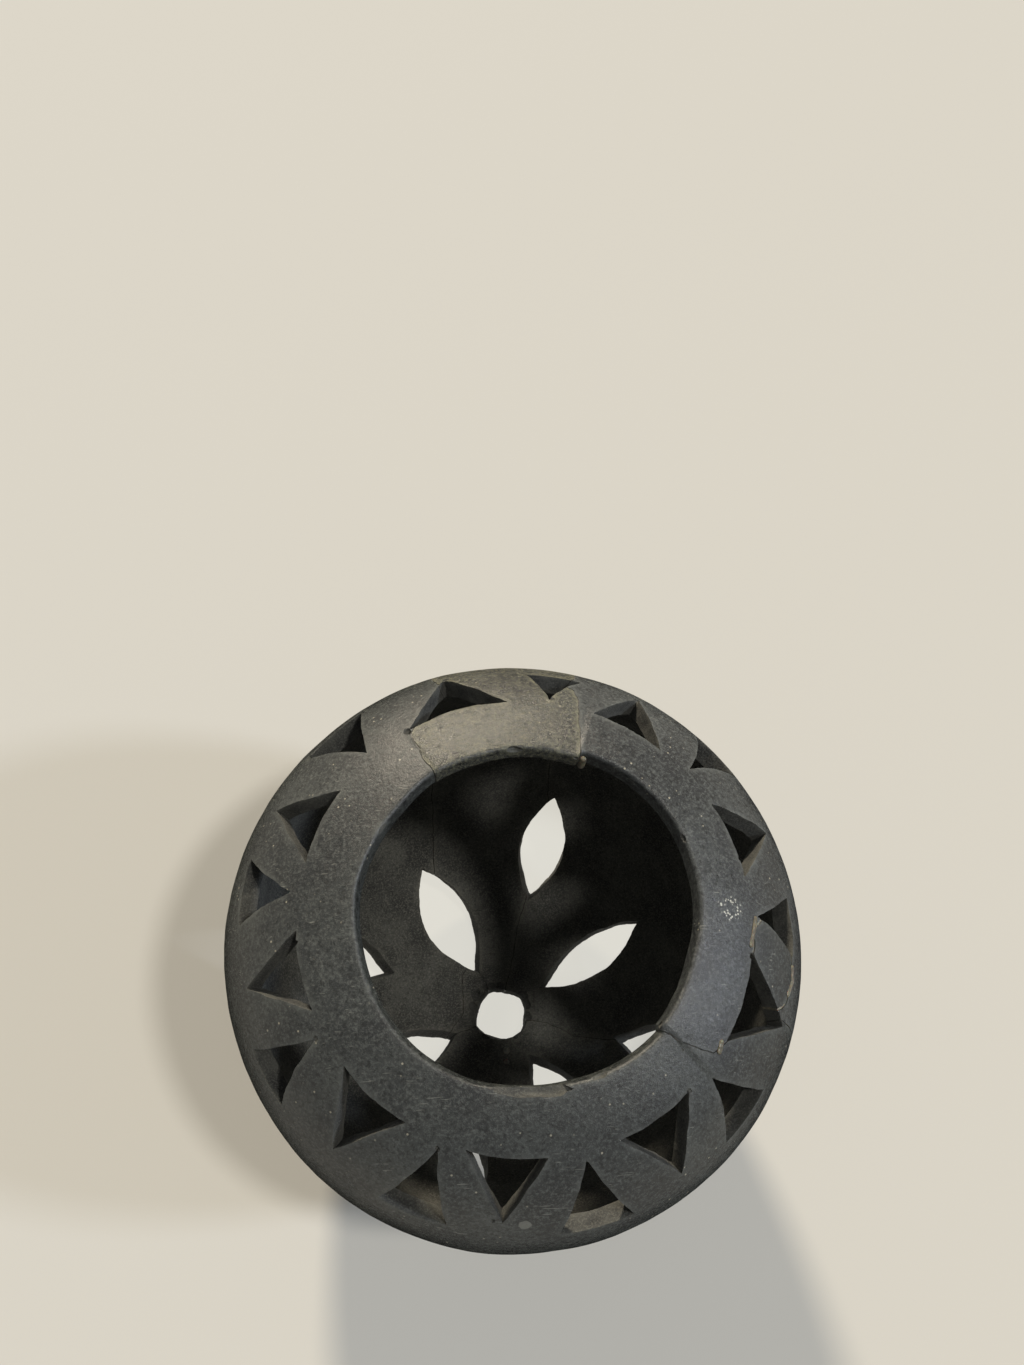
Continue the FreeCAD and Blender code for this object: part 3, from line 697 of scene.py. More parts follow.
@dataclass
class Pattern:
    """Where the wall is pierced, chipped and broken."""

    shape: PotShape
    knife: Knife
    rim_base: float = 0.402
    rim_tip: float = 0.795
    belly_tip: float = 0.453
    hole_radii: tuple[float, ...] = (12.5, 13.4, 12.2, 13.0, 12.0, 13.6, 12.4, 12.0, 13.2)
    rim_rows: tuple[tuple[float, float, float], ...] = (
        (107, 14, 106), (59.5, 10.5, 61), (19.5, 10.5, 19.5), (338, 12, 337.5),
        (300.5, 10.5, 301), (263, 10, 264), (228, 10, 228), (193, 10, 192),
        (155.5, 10.5, 154),
    )
    belly_rows: tuple[tuple[float, float, float, float], ...] = (
        (82, 81, 6.5, 0.735), (40.5, 39.5, 6.5, 0.872), (359, 358.5, 6.5, 0.795),
        (317.5, 318.5, 6.5, 0.846), (281.5, 282.5, 7.5, 0.872), (247, 247, 7, 0.863),
        (209, 209, 6, 0.872), (173.5, 172, 7, 0.838), (133, 133, 8, 0.855),
    )
    inner_leaves: tuple[tuple[float, float], ...] = ((119, 26), (31, 20), (202, 22), (303, 22))
    outer_leaves: tuple[tuple[float, float], ...] = ((75, 23), (160, 22), (253, 22), (345, 22))
    inner_span: tuple[float, float] = (27, 87)
    outer_span: tuple[float, float] = (63, 118)
    shoulder_depth: tuple[float, float] = (22, 34)
    crack: float = 0.5
    strut_crack: float = 1.2
    base_top: float = 60.0
    under: float = -8.0
    overlap: float = 0.6

    def triangles(self) -> list[list[bmesh.types.BMesh]]:
        """Tools of both rings of triangles, in sets that don't touch each other."""
        way = self.shape.way_out
        rim, belly = [], []
        for index, (middle, half, tip) in enumerate(self.rim_rows):
            base = way(self.rim_base)
            corners = (
                self.shape.spot(middle - half, base),
                self.shape.spot(tip, way(self.rim_tip)),
                self.shape.spot(middle + half, base),
            )
            bow = -0.35 + 0.9 * noise.noise(Vector((index * 3.1, 0.4, 2.0)))
            rim.append(self.knife.triangle(corners, (bow, bow, self.sag(corners)), 0.55))
        for index, (tip, middle, half, share) in enumerate(self.belly_rows):
            base = way(share)
            corners = (
                self.shape.spot(tip, way(self.belly_tip)),
                self.shape.spot(middle - half, base),
                self.shape.spot(middle + half, base),
            )
            bow = -0.3 + 0.8 * noise.noise(Vector((index * 2.7, 5.4, 1.0)))
            belly.append(self.knife.triangle(corners, (bow, 1.0, bow), 0.5))
        return [rim[0::2], rim[1::2], belly[0::2], belly[1::2]]

    def sag(self, corners: Sequence[Vector]) -> float:
        """How far a rim triangle's base bows away from its tip, along the ring."""
        span = (corners[0] - corners[2]).length
        return -(span**2) / (8 * math.hypot(corners[0].x, corners[0].y))

    def base_cuts(self) -> list[list[bmesh.types.BMesh]]:
        """Tools of the leaves and the broken hole, in sets that don't touch."""
        inner = [self.knife.leaf(*row, *self.inner_span) for row in self.inner_leaves]
        outer = [self.knife.leaf(*row, *self.outer_span) for row in self.outer_leaves]
        return [inner, outer, [self.knife.hole(self.hole_radii)]]

    def shoulder_slab(self, path: list[tuple[float, float]], gap: float) -> bmesh.types.BMesh:
        """Slab of a break through the shoulder, square to the wall at its far end."""
        points = [self.shape.spot(*place) for place in path]
        normal = self.shape.facing(points[-1])
        flat = self.knife.flat(points, points[-1], normal)
        return self.knife.slab(flat, gap, normal, self.shoulder_depth)

    def upright_slab(self, plan: list[Vector], low: float, high: float) -> bmesh.types.BMesh:
        """Upright slab of a break along plan points, between two heights."""
        points = [Vector((point.x, point.y, 0)) for point in plan]
        return self.knife.slab(points, self.crack, Vector((0, 0, 1)), (high, -low))

    def polar(self, bearing: float, reach: float, beside_hole: bool = False) -> Vector:
        """Plan point about the pot's axis, or about the middle of the hole."""
        angle = math.radians(bearing)
        x, y = self.shape.hole if beside_hole else (0.0, 0.0)
        return Vector((x + reach * math.cos(angle), y + reach * math.sin(angle), 0))

    def breaks(self) -> dict[str, list[bmesh.types.BMesh]]:
        """Slabs of every break, by the name of its film, from the mouth to the hole."""
        shoulder = {
            "rim_left": [(123.5, 60.5), (123, 76.3), (121, 90.5), (118.5, 93.5), (114, 97)],
            "rim_back": [(67, 60.5), (71.5, 76.3), (74, 95), (76, 103.5), (80.5, 107)],
            "rim_right": [(315, 60.5), (317.5, 76.3), (321.5, 90), (329, 93.5), (333, 98)],
            "strut_top": [(359, 103), (359, 98), (356, 93), (347, 93), (343, 97)],
            "strut_foot": [
                (357, 107), (354.5, 111), (352.4, 113.5), (347, 115), (342, 113.5),
                (339, 109), (338.5, 104),
            ],
        }
        slabs = {}
        for name, path in shoulder.items():
            gap = self.strut_crack if "strut" in name else self.crack
            slabs[name] = [self.shoulder_slab(path, gap)]
        equator, top = self.shape.equator, self.shape.equator + self.shape.shoulder_rise
        crossings = {
            "belly_left": (108, self.polar(106, 104), self.leaf_heart(119, 74)),
            "belly_back": (76.2, self.polar(80, 104), self.leaf_heart(75, 105)),
            "belly_right": (338.5, self.polar(337.5, 104), self.leaf_heart(345, 105)),
        }
        for name, (bearing, upper, lower) in crossings.items():
            inner, outer = self.polar(bearing, 113), self.polar(bearing, 141)
            slabs[name] = [
                self.upright_slab([upper, inner, outer], equator - self.overlap, top),
                self.upright_slab([lower, inner, outer], self.under, equator + self.overlap),
            ]
        back, right = self.leaf_heart(75, 78), self.leaf_heart(345, 78)
        upper, lower = self.leaf_heart(119, 32), self.leaf_heart(202, 32)
        base = {
            "base_back": [[back, (78, 47), (76, 31.5), (84, 9)]],
            "base_right": [[right, (341, 40), (348, 25), (345, 9)]],
            "base_sherd": [[upper, (136, 29), (156, 22.5), (178, 20.5), lower], [lower, (207, 9)]],
            "base_left": [[upper, (113, 9)]],
        }
        for name, paths in base.items():
            slabs[name] = []
            for path in paths:
                plan = [p if isinstance(p, Vector) else self.polar(*p, True) for p in path]
                slabs[name].append(self.upright_slab(plan, self.under, self.base_top))
        return slabs

    def leaf_heart(self, bearing: float, reach: float) -> Vector:
        """Plan point on a leaf's midline."""
        point = self.shape.base_spot(bearing, reach)
        return Vector((point.x, point.y, 0))

    def chips(self) -> list[list[bmesh.types.BMesh]]:
        """Flakes lost from the lip, the triangles, the leaves and the hole."""
        way = self.shape.way_out
        lip_top = [self.lip_flake(*row) for row in (
            (93, 0.2, 3.6, 1.1), (84, 0.9, 2.4, 0.9), (268, 0.05, 15.5, 2.0),
            (291, 0.1, 3.0, 0.8), (317.6, 0.3, 2.2, 1.0), (331, 0.9, 3.0, 1.0),
            (204, 0.0, 2.0, 0.7), (150, 0.1, 2.4, 0.6), (24, 0.1, 2.2, 0.8),
            (70.5, 0.2, 1.5, 0.8),
        )]
        wall_rows = (
            (121.5, way(0.402), 2.4), (316.6, 79.5, 1.2), (81.5, way(0.46), 1.6),
            (61, way(0.79), 1.8), (262, way(0.79), 1.6), (209, way(0.46), 1.5),
            (348.5, way(0.41), 1.7), (105.5, way(0.8), 2.2), (247, way(0.45), 1.4),
            (186, way(0.41), 1.4), (311, way(0.4), 1.5), (45, way(0.86), 1.6),
            (140, way(0.86), 1.9), (125, way(0.85), 1.5), (14, way(0.41), 1.3),
        )
        wall = []
        for bearing, radius, size in wall_rows:
            spot = self.shape.spot(bearing, radius, True, -0.2 * size)
            wall.append(self.knife.flake(spot, Vector((size, size * 0.8, size * 0.8)), bearing))
        base = []
        for bearing, reach, size in (
            (141, 14.5, 4.4), (112, 14.2, 3.2), (166, 13.9, 3.8), (20, 13.8, 3.0),
            (38, 14.2, 3.4), (352, 13.6, 2.8), (232, 13.9, 2.4), (300, 13.2, 2.0),
            (126, 15.6, 2.6), (183, 14.6, 2.6), (92, 14.0, 2.8), (206, 14.2, 2.2),
        ):
            spot = self.polar(bearing, reach, True) + Vector((0, 0, self.shape.wall + 0.6))
            base.append(self.knife.flake(spot, Vector((size, size, size * 0.7)), bearing))
        return [lip_top[0::2], lip_top[1::2], wall[0::2], wall[1::2], base[0::2], base[1::2]]

    def lip_flake(
        self, bearing: float, across: float, size: float, deep: float
    ) -> bmesh.types.BMesh:
        """Tool for a flake off the lip.

        Args:
            bearing: where it is, in degrees.
            across: 0 at the lip's outer edge and 1 at its inner edge.
            size: how long it is along the lip.
            deep: how deep it goes.

        Returns:
            The tool.
        """
        angle = math.radians(bearing)
        radius = self.knife.hand.lip_radius(np.array([angle]))[0]
        spot = self.shape.spot(bearing, radius, True, across * self.shape.wall)
        spot += Vector((-math.cos(angle), -math.sin(angle), 0.15)) * 0.1
        width = Vector((min(size * 0.5, 3.2), size, deep * 1.5))
        return self.knife.flake(spot, width, angle)


# ------------------------------------------------------------------ materials
def linear(code: str) -> tuple[float, float, float, float]:
    """Linear colour of an sRGB hex code."""
    channels = [int(code[place:place + 2], 16) / 255 for place in (1, 3, 5)]
    bent = [c / 12.92 if c <= 0.04045 else ((c + 0.055) / 1.055) ** 2.4 for c in channels]
    return (bent[0], bent[1], bent[2], 1.0)


@dataclass
class Graph:
    """A node tree while it is being wired."""

    tree: bpy.types.NodeTree
    material: bpy.types.Material | None = None

    @classmethod
    def new(cls, name: str) -> "Graph":
        """An empty tree in a new material."""
        material = bpy.data.materials.new(name)
        material.use_nodes = True
        material.node_tree.nodes.clear()
        return cls(material.node_tree, material)

    def add(self, kind: str, settings: dict[str, Any] | None = None, **inputs: Any) -> Any:
        """Add a node.

        Args:
            kind: the node's type, without its ShaderNode prefix.
            settings: properties of the node.
            inputs: a value or an output for each named or numbered input; an
                underscore stands for a space, and i0, i1 name inputs by number.

        Returns:
            The node.
        """
        node = self.tree.nodes.new("ShaderNode" + kind)
        for key, value in (settings or {}).items():
            setattr(node, key, value)
        for key, value in inputs.items():
            plug = node.inputs[int(key[1:]) if key[1:].isdigit() else key.replace("_", " ")]
            if isinstance(value, bpy.types.NodeSocket):
                self.tree.links.new(value, plug)
            else:
                plug.default_value = value
        return node

    def where(self) -> Any:
        """Object coordinates, in metres."""
        return self.add("TexCoord").outputs["Object"]

    def wear(self, share: float) -> Any:
        """How worn the clay is near its sharp edges."""
        return self.times(self.add("Attribute", {"attribute_name": "wear"}).outputs["Fac"], share)

    def cells(self, vector: Any, size: float) -> Any:
        """Distance to the middle of cells about `size` millimetres across."""
        return self.add("TexVoronoi", Vector=vector, Scale=1 / (size * MM)).outputs[0]

    def away(self, vector: Any, place: Sequence[float]) -> Any:
        """Distance from a place, in metres."""
        made = self.add("VectorMath", {"operation": "DISTANCE"}, i0=vector, i1=place)
        return made.outputs["Value"]

    def noise(self, vector: Any, size: float, detail: float = 3.0, rough: float = 0.55) -> Any:
        """Noise value with bumps about `size` millimetres across."""
        scale = 1 / (size * MM)
        made = self.add("TexNoise", Vector=vector, Scale=scale, Detail=detail, Roughness=rough)
        return made.outputs[0]

    def ramp(
        self, value: Any, low: float, high: float, bottom: float = 0.0, top: float = 1.0
    ) -> Any:
        """Smooth step of a value between two levels."""
        smooth = {"interpolation_type": "SMOOTHSTEP"}
        made = self.add("MapRange", smooth, i0=value, i1=low, i2=high, i3=bottom, i4=top)
        return made.outputs[0]

    def mix(self, share: Any, first: Any, second: Any) -> Any:
        """Blend of two colours."""
        return self.add("Mix", {"data_type": "RGBA"}, i0=share, i6=first, i7=second).outputs[2]

    def math(self, operation: str, first: Any, second: Any) -> Any:
        """Result of a sum on two values."""
        return self.add("Math", {"operation": operation}, i0=first, i1=second).outputs[0]

    def times(self, first: Any, second: Any) -> Any:
        """Product of two values."""
        return self.math("MULTIPLY", first, second)

    def tint(self, colour: Any, mask: Any, share: float, code: str) -> Any:
        """A colour with a part of another over it where a mask is high."""
        return self.mix(self.times(mask, share), colour, linear(code))

    def shone_on(self) -> Any:
        """Whether a ray comes from the camera, a reflection or a clear body."""
        path = self.add("LightPath").outputs
        seen = self.math("MAXIMUM", path["Is Camera Ray"], path["Is Transmission Ray"])
        return self.math("MAXIMUM", seen, path["Is Glossy Ray"])

    def bump(self, height: Any, strength: float, distance: float, normal: Any = None) -> Any:
        """Normal bent by a height, over a distance in millimetres."""
        inputs = {"Height": height, "Strength": strength, "Distance": distance * MM}
        if normal is not None:
            inputs["Normal"] = normal
        return self.add("Bump", **inputs).outputs[0]

    def finish(self, colour: Any, rough: Any, normal: Any, **more: Any) -> bpy.types.Material:
        """Add the shader and the output.

        Args:
            colour: the base colour.
            rough: the roughness.
            normal: the bent normal.
            more: other inputs of the shader.

        Returns:
            The finished material.
        """
        main = {"Base_Color": colour, "Roughness": rough, "Normal": normal}
        return self.output(self.add("BsdfPrincipled", **main, **more).outputs[0])

    def output(self, shader: Any) -> Any:
        """Join a shader to the output, and give the material back."""
        self.add("OutputMaterial", Surface=shader)
        return self.material


@dataclass(frozen=True)
class BurnishedClay:
    """Barro negro, smoke-fired and rubbed with a pebble before firing.

    The eye gets a graphite-dark skin with a broken satin sheen, cloudy paler
    patches where dust sits, fine pale specks, and scuffs near the edges.
    """

    name: str
    dark: str = "#1f2122"
    light: str = "#363938"
    dust: str = "#6e726f"
    grain: str = "#4f5351"
    dustiness: float = 0.35
    roughness: float = 0.39
    relief: float = 0.75
    ring: tuple[float, float, float] | None = None
    smudge: tuple[float, float, float] | None = None
    soot: str = "#131414"
    speck: str = "#b9b4a2"
    scuff: str = "#8f918a"
    bubble: str = "#c6c7be"
    stain: str = "#80827c"

    def make(self) -> bpy.types.Material:
        """Wire the material."""
        g = Graph.new(self.name)
        where = g.where()
        lay = g.add("UVMap", {"uv_map": "wall"}).outputs[0]
        blotch = g.ramp(g.noise(where, 4.5, 5, 0.72), 0.40, 0.68)
        grit = g.noise(where, 1.3, 4, 0.8)
        strokes = g.add("Mapping", Vector=lay, Scale=(0.10, 1.0, 1.0)).outputs[0]
        rubbed = g.noise(strokes, 1.5, 2, 0.6)

        cloud = g.ramp(g.noise(where, 24, 5, 0.6), 0.34, 0.66)
        colour = g.mix(cloud, linear(self.dark), linear(self.light))
        colour = g.tint(colour, g.ramp(grit, 0.48, 0.60), 0.75, self.grain)
        colour = g.tint(colour, g.ramp(g.noise(where, 2.3, 4, 0.75), 0.52, 0.60), 0.8, self.soot)
        dusty = g.times(blotch, g.ramp(g.noise(where, 38, 2), 0.38, 0.62, 0.3, 1.0))
        dusty = g.times(g.times(dusty, self.dustiness), g.ramp(grit, 0.36, 0.66))
        dusty = g.math("MAXIMUM", dusty, g.wear(0.4))
        colour = g.mix(dusty, colour, linear(self.dust))
        speck = g.ramp(g.cells(where, 4.4), 0.13, 0.06)
        speck = g.times(speck, g.ramp(g.noise(where, 17, 1), 0.5, 0.58))
        colour = self.marked(g, where, g.tint(colour, speck, 0.7, self.speck))

        rough = g.math("ADD", g.times(blotch, 0.10), self.roughness)
        rough = g.math("ADD", rough, g.times(dusty, 0.30))
        rough = g.math("SUBTRACT", rough, g.ramp(rubbed, 0.45, 0.75, 0.0, 0.08))
        normal = g.bump(g.noise(where, 3.2, 4, 0.6), 0.35, 0.45)
        normal = g.bump(rubbed, 0.14, 0.25, normal)
        normal = g.bump(grit, self.relief, 0.3, normal)
        facing = g.add("LayerWeight", Blend=0.5, Normal=normal).outputs["Facing"]
        gloss = g.ramp(facing, 0.40, 0.82, 0.5, 0.0)
        return g.finish(colour, rough, normal, Specular_IOR_Level=gloss)

    def marked(self, g: Graph, where: Any, colour: Any) -> Any:
        """Colour with this sherd's own scuffs, ring of burst bubbles and smudge.

        Args:
            g: the tree.
            where: the object coordinates.
            colour: the colour so far.

        Returns:
            The marked colour.
        """
        turn, stretch = (0.0, 0.0, 0.7), (0.06, 1.0, 0.3)
        turned = g.add("Mapping", Vector=where, Rotation=turn, Scale=stretch).outputs[0]
        scratch = g.ramp(g.noise(turned, 0.55, 1, 0.5), 0.66, 0.72)
        scratch = g.times(scratch, g.ramp(g.noise(where, 13, 1), 0.56, 0.64))
        colour = g.tint(colour, scratch, 0.5, self.scuff)
        if self.ring:
            stray = g.times(g.ramp(g.noise(where, 5, 1), 0.3, 0.7, -1.0, 1.0), 1.8 * MM)
            away = g.math("ADD", g.away(where, self.ring), stray)
            band = g.times(g.ramp(away, 1.6 * MM, 3.0 * MM), g.ramp(away, 6.2 * MM, 4.6 * MM))
            dots = g.times(g.ramp(g.cells(where, 1.25), 0.42, 0.30), band)
            colour = g.tint(colour, dots, 0.95, self.bubble)
        if self.smudge:
            stray = g.times(g.noise(where, 1.5, 2), 1.2 * MM)
            away = g.math("ADD", g.away(where, self.smudge), stray)
            share = g.ramp(away, 3.4 * MM, 2.8 * MM, 0.0, 0.6)
            colour = g.mix(share, colour, linear(self.stain))
        return colour


@dataclass(frozen=True)
class SmokedClay:
    """The unburnished inside of the wall, as the wet hand left it.

    The eye gets a matte, sooty grey that takes light softly, with gritty
    relief and paler dust where it catches.
    """

    name: str = "clay_smoked_inside_unburnished"
    sooty: str = "#333433"
    pale: str = "#52534f"
    grain: str = "#76766d"
    pit: str = "#181918"
    dust: str = "#7f7e74"
    roughness: float = 0.82

    def make(self) -> bpy.types.Material:
        """Wire the material."""
        g = Graph.new(self.name)
        where = g.where()
        grit = g.noise(where, 0.9, 4, 0.7)
        cloud = g.ramp(g.noise(where, 19, 4), 0.35, 0.65)
        colour = g.mix(cloud, linear(self.sooty), linear(self.pale))
        colour = g.tint(colour, g.ramp(grit, 0.47, 0.62), 0.6, self.grain)
        colour = g.tint(colour, g.ramp(g.noise(where, 1.6, 3, 0.7), 0.54, 0.64), 0.5, self.pit)
        colour = g.mix(g.wear(0.4), colour, linear(self.dust))
        normal = g.bump(g.noise(where, 2.4, 4, 0.65), 0.6, 0.6)
        return g.finish(colour, self.roughness, g.bump(grit, 0.6, 0.25, normal))


@dataclass(frozen=True)
class CutClay:
    """Clay cut with a knife when leather hard, or broken after firing.

    The eye gets a rough, dry, lighter brown-grey face with drag marks and
    crumbled grains, and no sheen.
    """

    name: str = "clay_knife_cut_and_broken"
    dark: str = "#2e2f2f"
    light: str = "#464744"
    grain: str = "#646560"
    dust: str = "#70716b"
    roughness: float = 0.9

    def make(self) -> bpy.types.Material:
        """Wire the material."""
        g = Graph.new(self.name)
        where = g.where()
        grit = g.noise(where, 0.8, 4, 0.75)
        cloud = g.ramp(g.noise(where, 9, 4), 0.35, 0.65)
        colour = g.mix(cloud, linear(self.dark), linear(self.light))
        colour = g.tint(colour, g.ramp(grit, 0.47, 0.62), 0.6, self.grain)
        colour = g.mix(g.wear(0.35), colour, linear(self.dust))
        normal = g.bump(g.noise(where, 2.6, 3, 0.7), 0.7, 0.7)
        return g.finish(colour, self.roughness, g.bump(grit, 0.5, 0.25, normal))


@dataclass(frozen=True)
class ClearCement:
    """Solvent cement squeezed from a tube and left to set.

    The eye gets a cream, slightly see-through skin with small trapped
    bubbles and a soft shine.
    """

    name: str
    pale: str
    dull: str
    gloss: float = 0.30

    def make(self) -> bpy.types.Material:
        """Wire the material."""
        g = Graph.new(self.name)
        where = g.where()
        cloud = g.ramp(g.noise(where, 1.6, 3), 0.35, 0.65)
        colour = g.mix(cloud, linear(self.pale), linear(self.dull))
        rough = g.ramp(cloud, 0.0, 1.0, self.gloss, self.gloss + 0.2)
        normal = g.bump(g.noise(where, 0.9, 2), 0.4, 0.15)
        normal = g.bump(g.cells(where, 0.5), 0.25, 0.08, normal)
        clear = {"Transmission_Weight": 0.25, "Subsurface_Weight": 0.3, "Subsurface_Scale": MM}
        return g.finish(colour, rough, normal, **clear)


# ------------------------------------------------------------------ assembly
@dataclass
class Pot:
    """The broken and mended pot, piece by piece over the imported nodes."""

    frame: dict[str, Any]
    shape: PotShape
    hand: HandFinish
    sherds: tuple[str, ...] = (
        "wall_sherd_left", "wall_sherd_right", "rim_sherd_back", "strut_sherd", "base_sherd",
    )
    flatten: float = 0.4
    inside_lift: float = -0.9
    film_recess: float = 0.4
    edge_angle: float = 34.0
    wear_reach: float = 2.6

    def __post_init__(self) -> None:
        """Make the tools and finishes that every step shares."""
        self.knife = Knife(self.shape, self.hand)
        self.pattern = Pattern(self.shape, self.knife)
        self.wall = WallBuilder(self.shape, self.hand)
        self.inside = SmokedClay().make()
        self.cut = CutClay().make()
        self.cement = ClearCement("cement_dried_translucent", "#857e69", "#615d51").make()
        self.clear = ClearCement("cement_drops_clear_grey", "#a3a39a", "#7a7a72").make()
        self.grimy = ClearCement("cement_thin_and_grimy", "#33322c", "#21201d", 0.7).make()
        left = BurnishedClay(
            "clay_burnished_black_left", dustiness=0.40, smudge=(-0.0032, -0.1154, 0.170)
        )
        right = BurnishedClay(
            "clay_burnished_black_right", "#212224", "#383b3c", "#767b79", "#545857", 0.30, 0.33,
            ring=(0.081, -0.001, 0.1962),
        )
        # The back sherd's skin is lighter and warmer, with olive dust and grain: partly its own
        # warmer tone, partly a painted warm glint on its rim top.
        back = BurnishedClay(
            "clay_burnished_black_back_with_painted_glint", "#282929", "#424441", "#8a8970", "#706f5e", 0.38, 0.26,
            relief=1.1,
        )
        self.skins = {"wall_sherd_right": right.make(), "rim_sherd_back": back.make()}
        self.skin = left.make()

    def dress(self, made: bpy.types.Object, name: str = "") -> None:
        """Give a mesh the three finishes of the wall, in the order of Surface."""
        slots = made.data.materials
        for place, finish in enumerate((self.skins.get(name, self.skin), self.inside, self.cut)):
            if place < len(slots):
                slots[place] = finish
            else:
                slots.append(finish)

    def join(self, tools: list[bmesh.types.BMesh]) -> bpy.types.Object:
        """One object out of several tools, dressed so that its cuts keep their finish."""
        together = bmesh.new()
        for tool in tools:
            mesh = bpy.data.meshes.new("part")
            tool.to_mesh(mesh)
            tool.free()
            together.from_mesh(mesh)
            bpy.data.meshes.remove(mesh)
        made = mesh_object("tool", together)
        self.dress(made)
        return made

    def pierce(self, wall: bpy.types.Object, chipped: bool) -> None:
        """Cut the whole pattern through a shell, and the chips if asked."""
        groups = self.pattern.triangles() + self.pattern.base_cuts()
        if chipped:
            groups += self.pattern.chips()
        for group in groups:
            combine(wall, self.join(group))

    def break_tool(self, slabs: list[bmesh.types.BMesh]) -> bpy.types.Object:
        """One tool that holds the slabs of one or more breaks."""
        whole = self.join([slabs[0]])
        for slab in slabs[1:]:
            combine(whole, self.join([slab]), "UNION")
        return whole

    def soften(self, made: bpy.types.Object, degrees: float, rounds: int) -> None:
        """Wear down the sharp edges of a mesh a little."""
        work = bmesh.new()
        work.from_mesh(made.data)
        limit = math.radians(degrees)
        sharp = {v for e in work.edges if len(e.link_faces) == 2 and e.calc_face_angle(0) > limit
                 for v in e.verts}
        axes = {f"use_axis_{axis}": True for axis in "xyz"}
        for _ in range(rounds):
            bmesh.ops.smooth_vert(work, verts=list(sharp), factor=0.5, **axes)
        work.to_mesh(made.data)
        work.free()

    def keep(self, made: bpy.types.Object, name: str) -> None:
        """Name a finished piece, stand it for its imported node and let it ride."""
        node = self.frame["nodes"][name]
        made.name = name + "_visual"
        made.data.name = made.name
        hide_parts(node.name)
        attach(made, "root")
        LOG.info("%s: %d faces", made.name, len(made.data.polygons))

    def nearest_node(self, made: bpy.types.Object, names: Iterable[str]) -> str:
        """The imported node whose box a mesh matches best."""
        return min(names, key=lambda name: box_distance(made, name))

    def add_wear(self, made: bpy.types.Object) -> None:
        """Store how near each point lies to a sharp edge, and the lie of the wall."""
        mesh = made.data
        work = bmesh.new()
        work.from_mesh(mesh)
        work.verts.ensure_lookup_table()
        limit = math.radians(self.edge_angle)
        edge_points = [
            e.verts[0].co.copy() for e in work.edges
            if len(e.link_faces) == 2 and e.calc_face_angle(0) > limit
        ]
        tree = kdtree.KDTree(len(edge_points))
        for index, point in enumerate(edge_points):
            tree.insert(point, index)
        tree.balance()
        wear = np.zeros(len(work.verts), np.float32)
        for vert in work.verts:
            gap = tree.find(vert.co)[2] / MM if edge_points else 9.0
            patchy = 0.55 + 0.9 * noise.noise(vert.co / (6 * MM))
            wear[vert.index] = max(0.0, 1 - gap / self.wear_reach) * min(max(patchy, 0.0), 1.0)
        work.free()
        mesh.attributes.new("wear", "FLOAT", "POINT").data.foreach_set("value", wear)
        self.add_lie(mesh)

    def add_lie(self, mesh: bpy.types.Mesh) -> None:
        """Store a UV map in metres: round the pot, and down its profile."""
        points = read_points(mesh)
        round_way = np.arctan2(points[:, 1], points[:, 0])
        height = points[:, 2] - self.shape.equator
        slant = np.arctan2(height, np.hypot(points[:, 0], points[:, 1]))
        corners = read_numbers(mesh.loops, "vertex_index")
        first = read_numbers(mesh.polygons, "loop_start")
        size = read_numbers(mesh.polygons, "loop_total")
        anchor = np.repeat(round_way[corners[first]], size)
        turn = round_way[corners]
        turn = anchor + (turn - anchor + np.pi) % (2 * np.pi) - np.pi
        lie = np.column_stack([turn, slant[corners]]) * (self.shape.body_radius * MM)
        layer = mesh.uv_layers.new(name="wall")
        layer.data.foreach_set("uv", lie.astype(np.float32).ravel())

    def shade(self, made: bpy.types.Object, degrees: float) -> None:
        """Smooth shading that breaks at sharp edges."""
        made.data.shade_smooth()
        made.data.set_sharp_from_angle(angle=math.radians(degrees))

    def build_sherds(self) -> None:
        """Break the pierced wall into its sherds."""
        whole = self.wall.build(0.0, self.shape.wall)
        self.dress(whole)
        self.pierce(whole, True)
        self.soften(whole, 50, 1)
        slabs = [slab for row in self.pattern.breaks().values() for slab in row]
        combine(whole, self.break_tool(slabs))
        left = list(self.sherds)
        for part in loose_parts(whole, 200):
            name = self.nearest_node(part, left)
            left.remove(name)
            self.dress(part, name)
            self.add_wear(part)
            self.shade(part, 40)
            self.keep(part, name)
        LOG.info("sherds left over: %s", left)

    def glue(
        self, made: bpy.types.Object, finish: bpy.types.Material, degrees: float, name: str
    ) -> None:
        """Dress a piece of glue, shade it and keep it."""
        made.data.materials.clear()
        made.data.materials.append(finish)
        self.shade(made, degrees)
        self.keep(made, name)

    def build_films(self) -> None:
        """Fill the breaks with thin films of adhesive, a little below the surface."""
        coarse = WallBuilder(self.shape, self.hand, rows=110, columns=330)
        thin = coarse.build(self.film_recess, self.shape.wall - self.film_recess, lip_cuts=5)
        self.dress(thin)
        self.pierce(thin, False)
        for label, slabs in self.pattern.breaks().items():
            name = f"glue_film_{label}"
            tool = self.break_tool(slabs)
            film, spare = twin(thin), twin(tool)
            combine(film, tool, "INTERSECT")
            combine(thin, spare)
            parts = loose_parts(film, 60)
            LOG.info("%s: %d parts", name, len(parts))
            for extra in parts[1:]:
                bpy.data.objects.remove(extra)
            self.glue(parts[0], self.cement if "strut" in name else self.grimy, 50, name)
        bpy.data.objects.remove(thin)

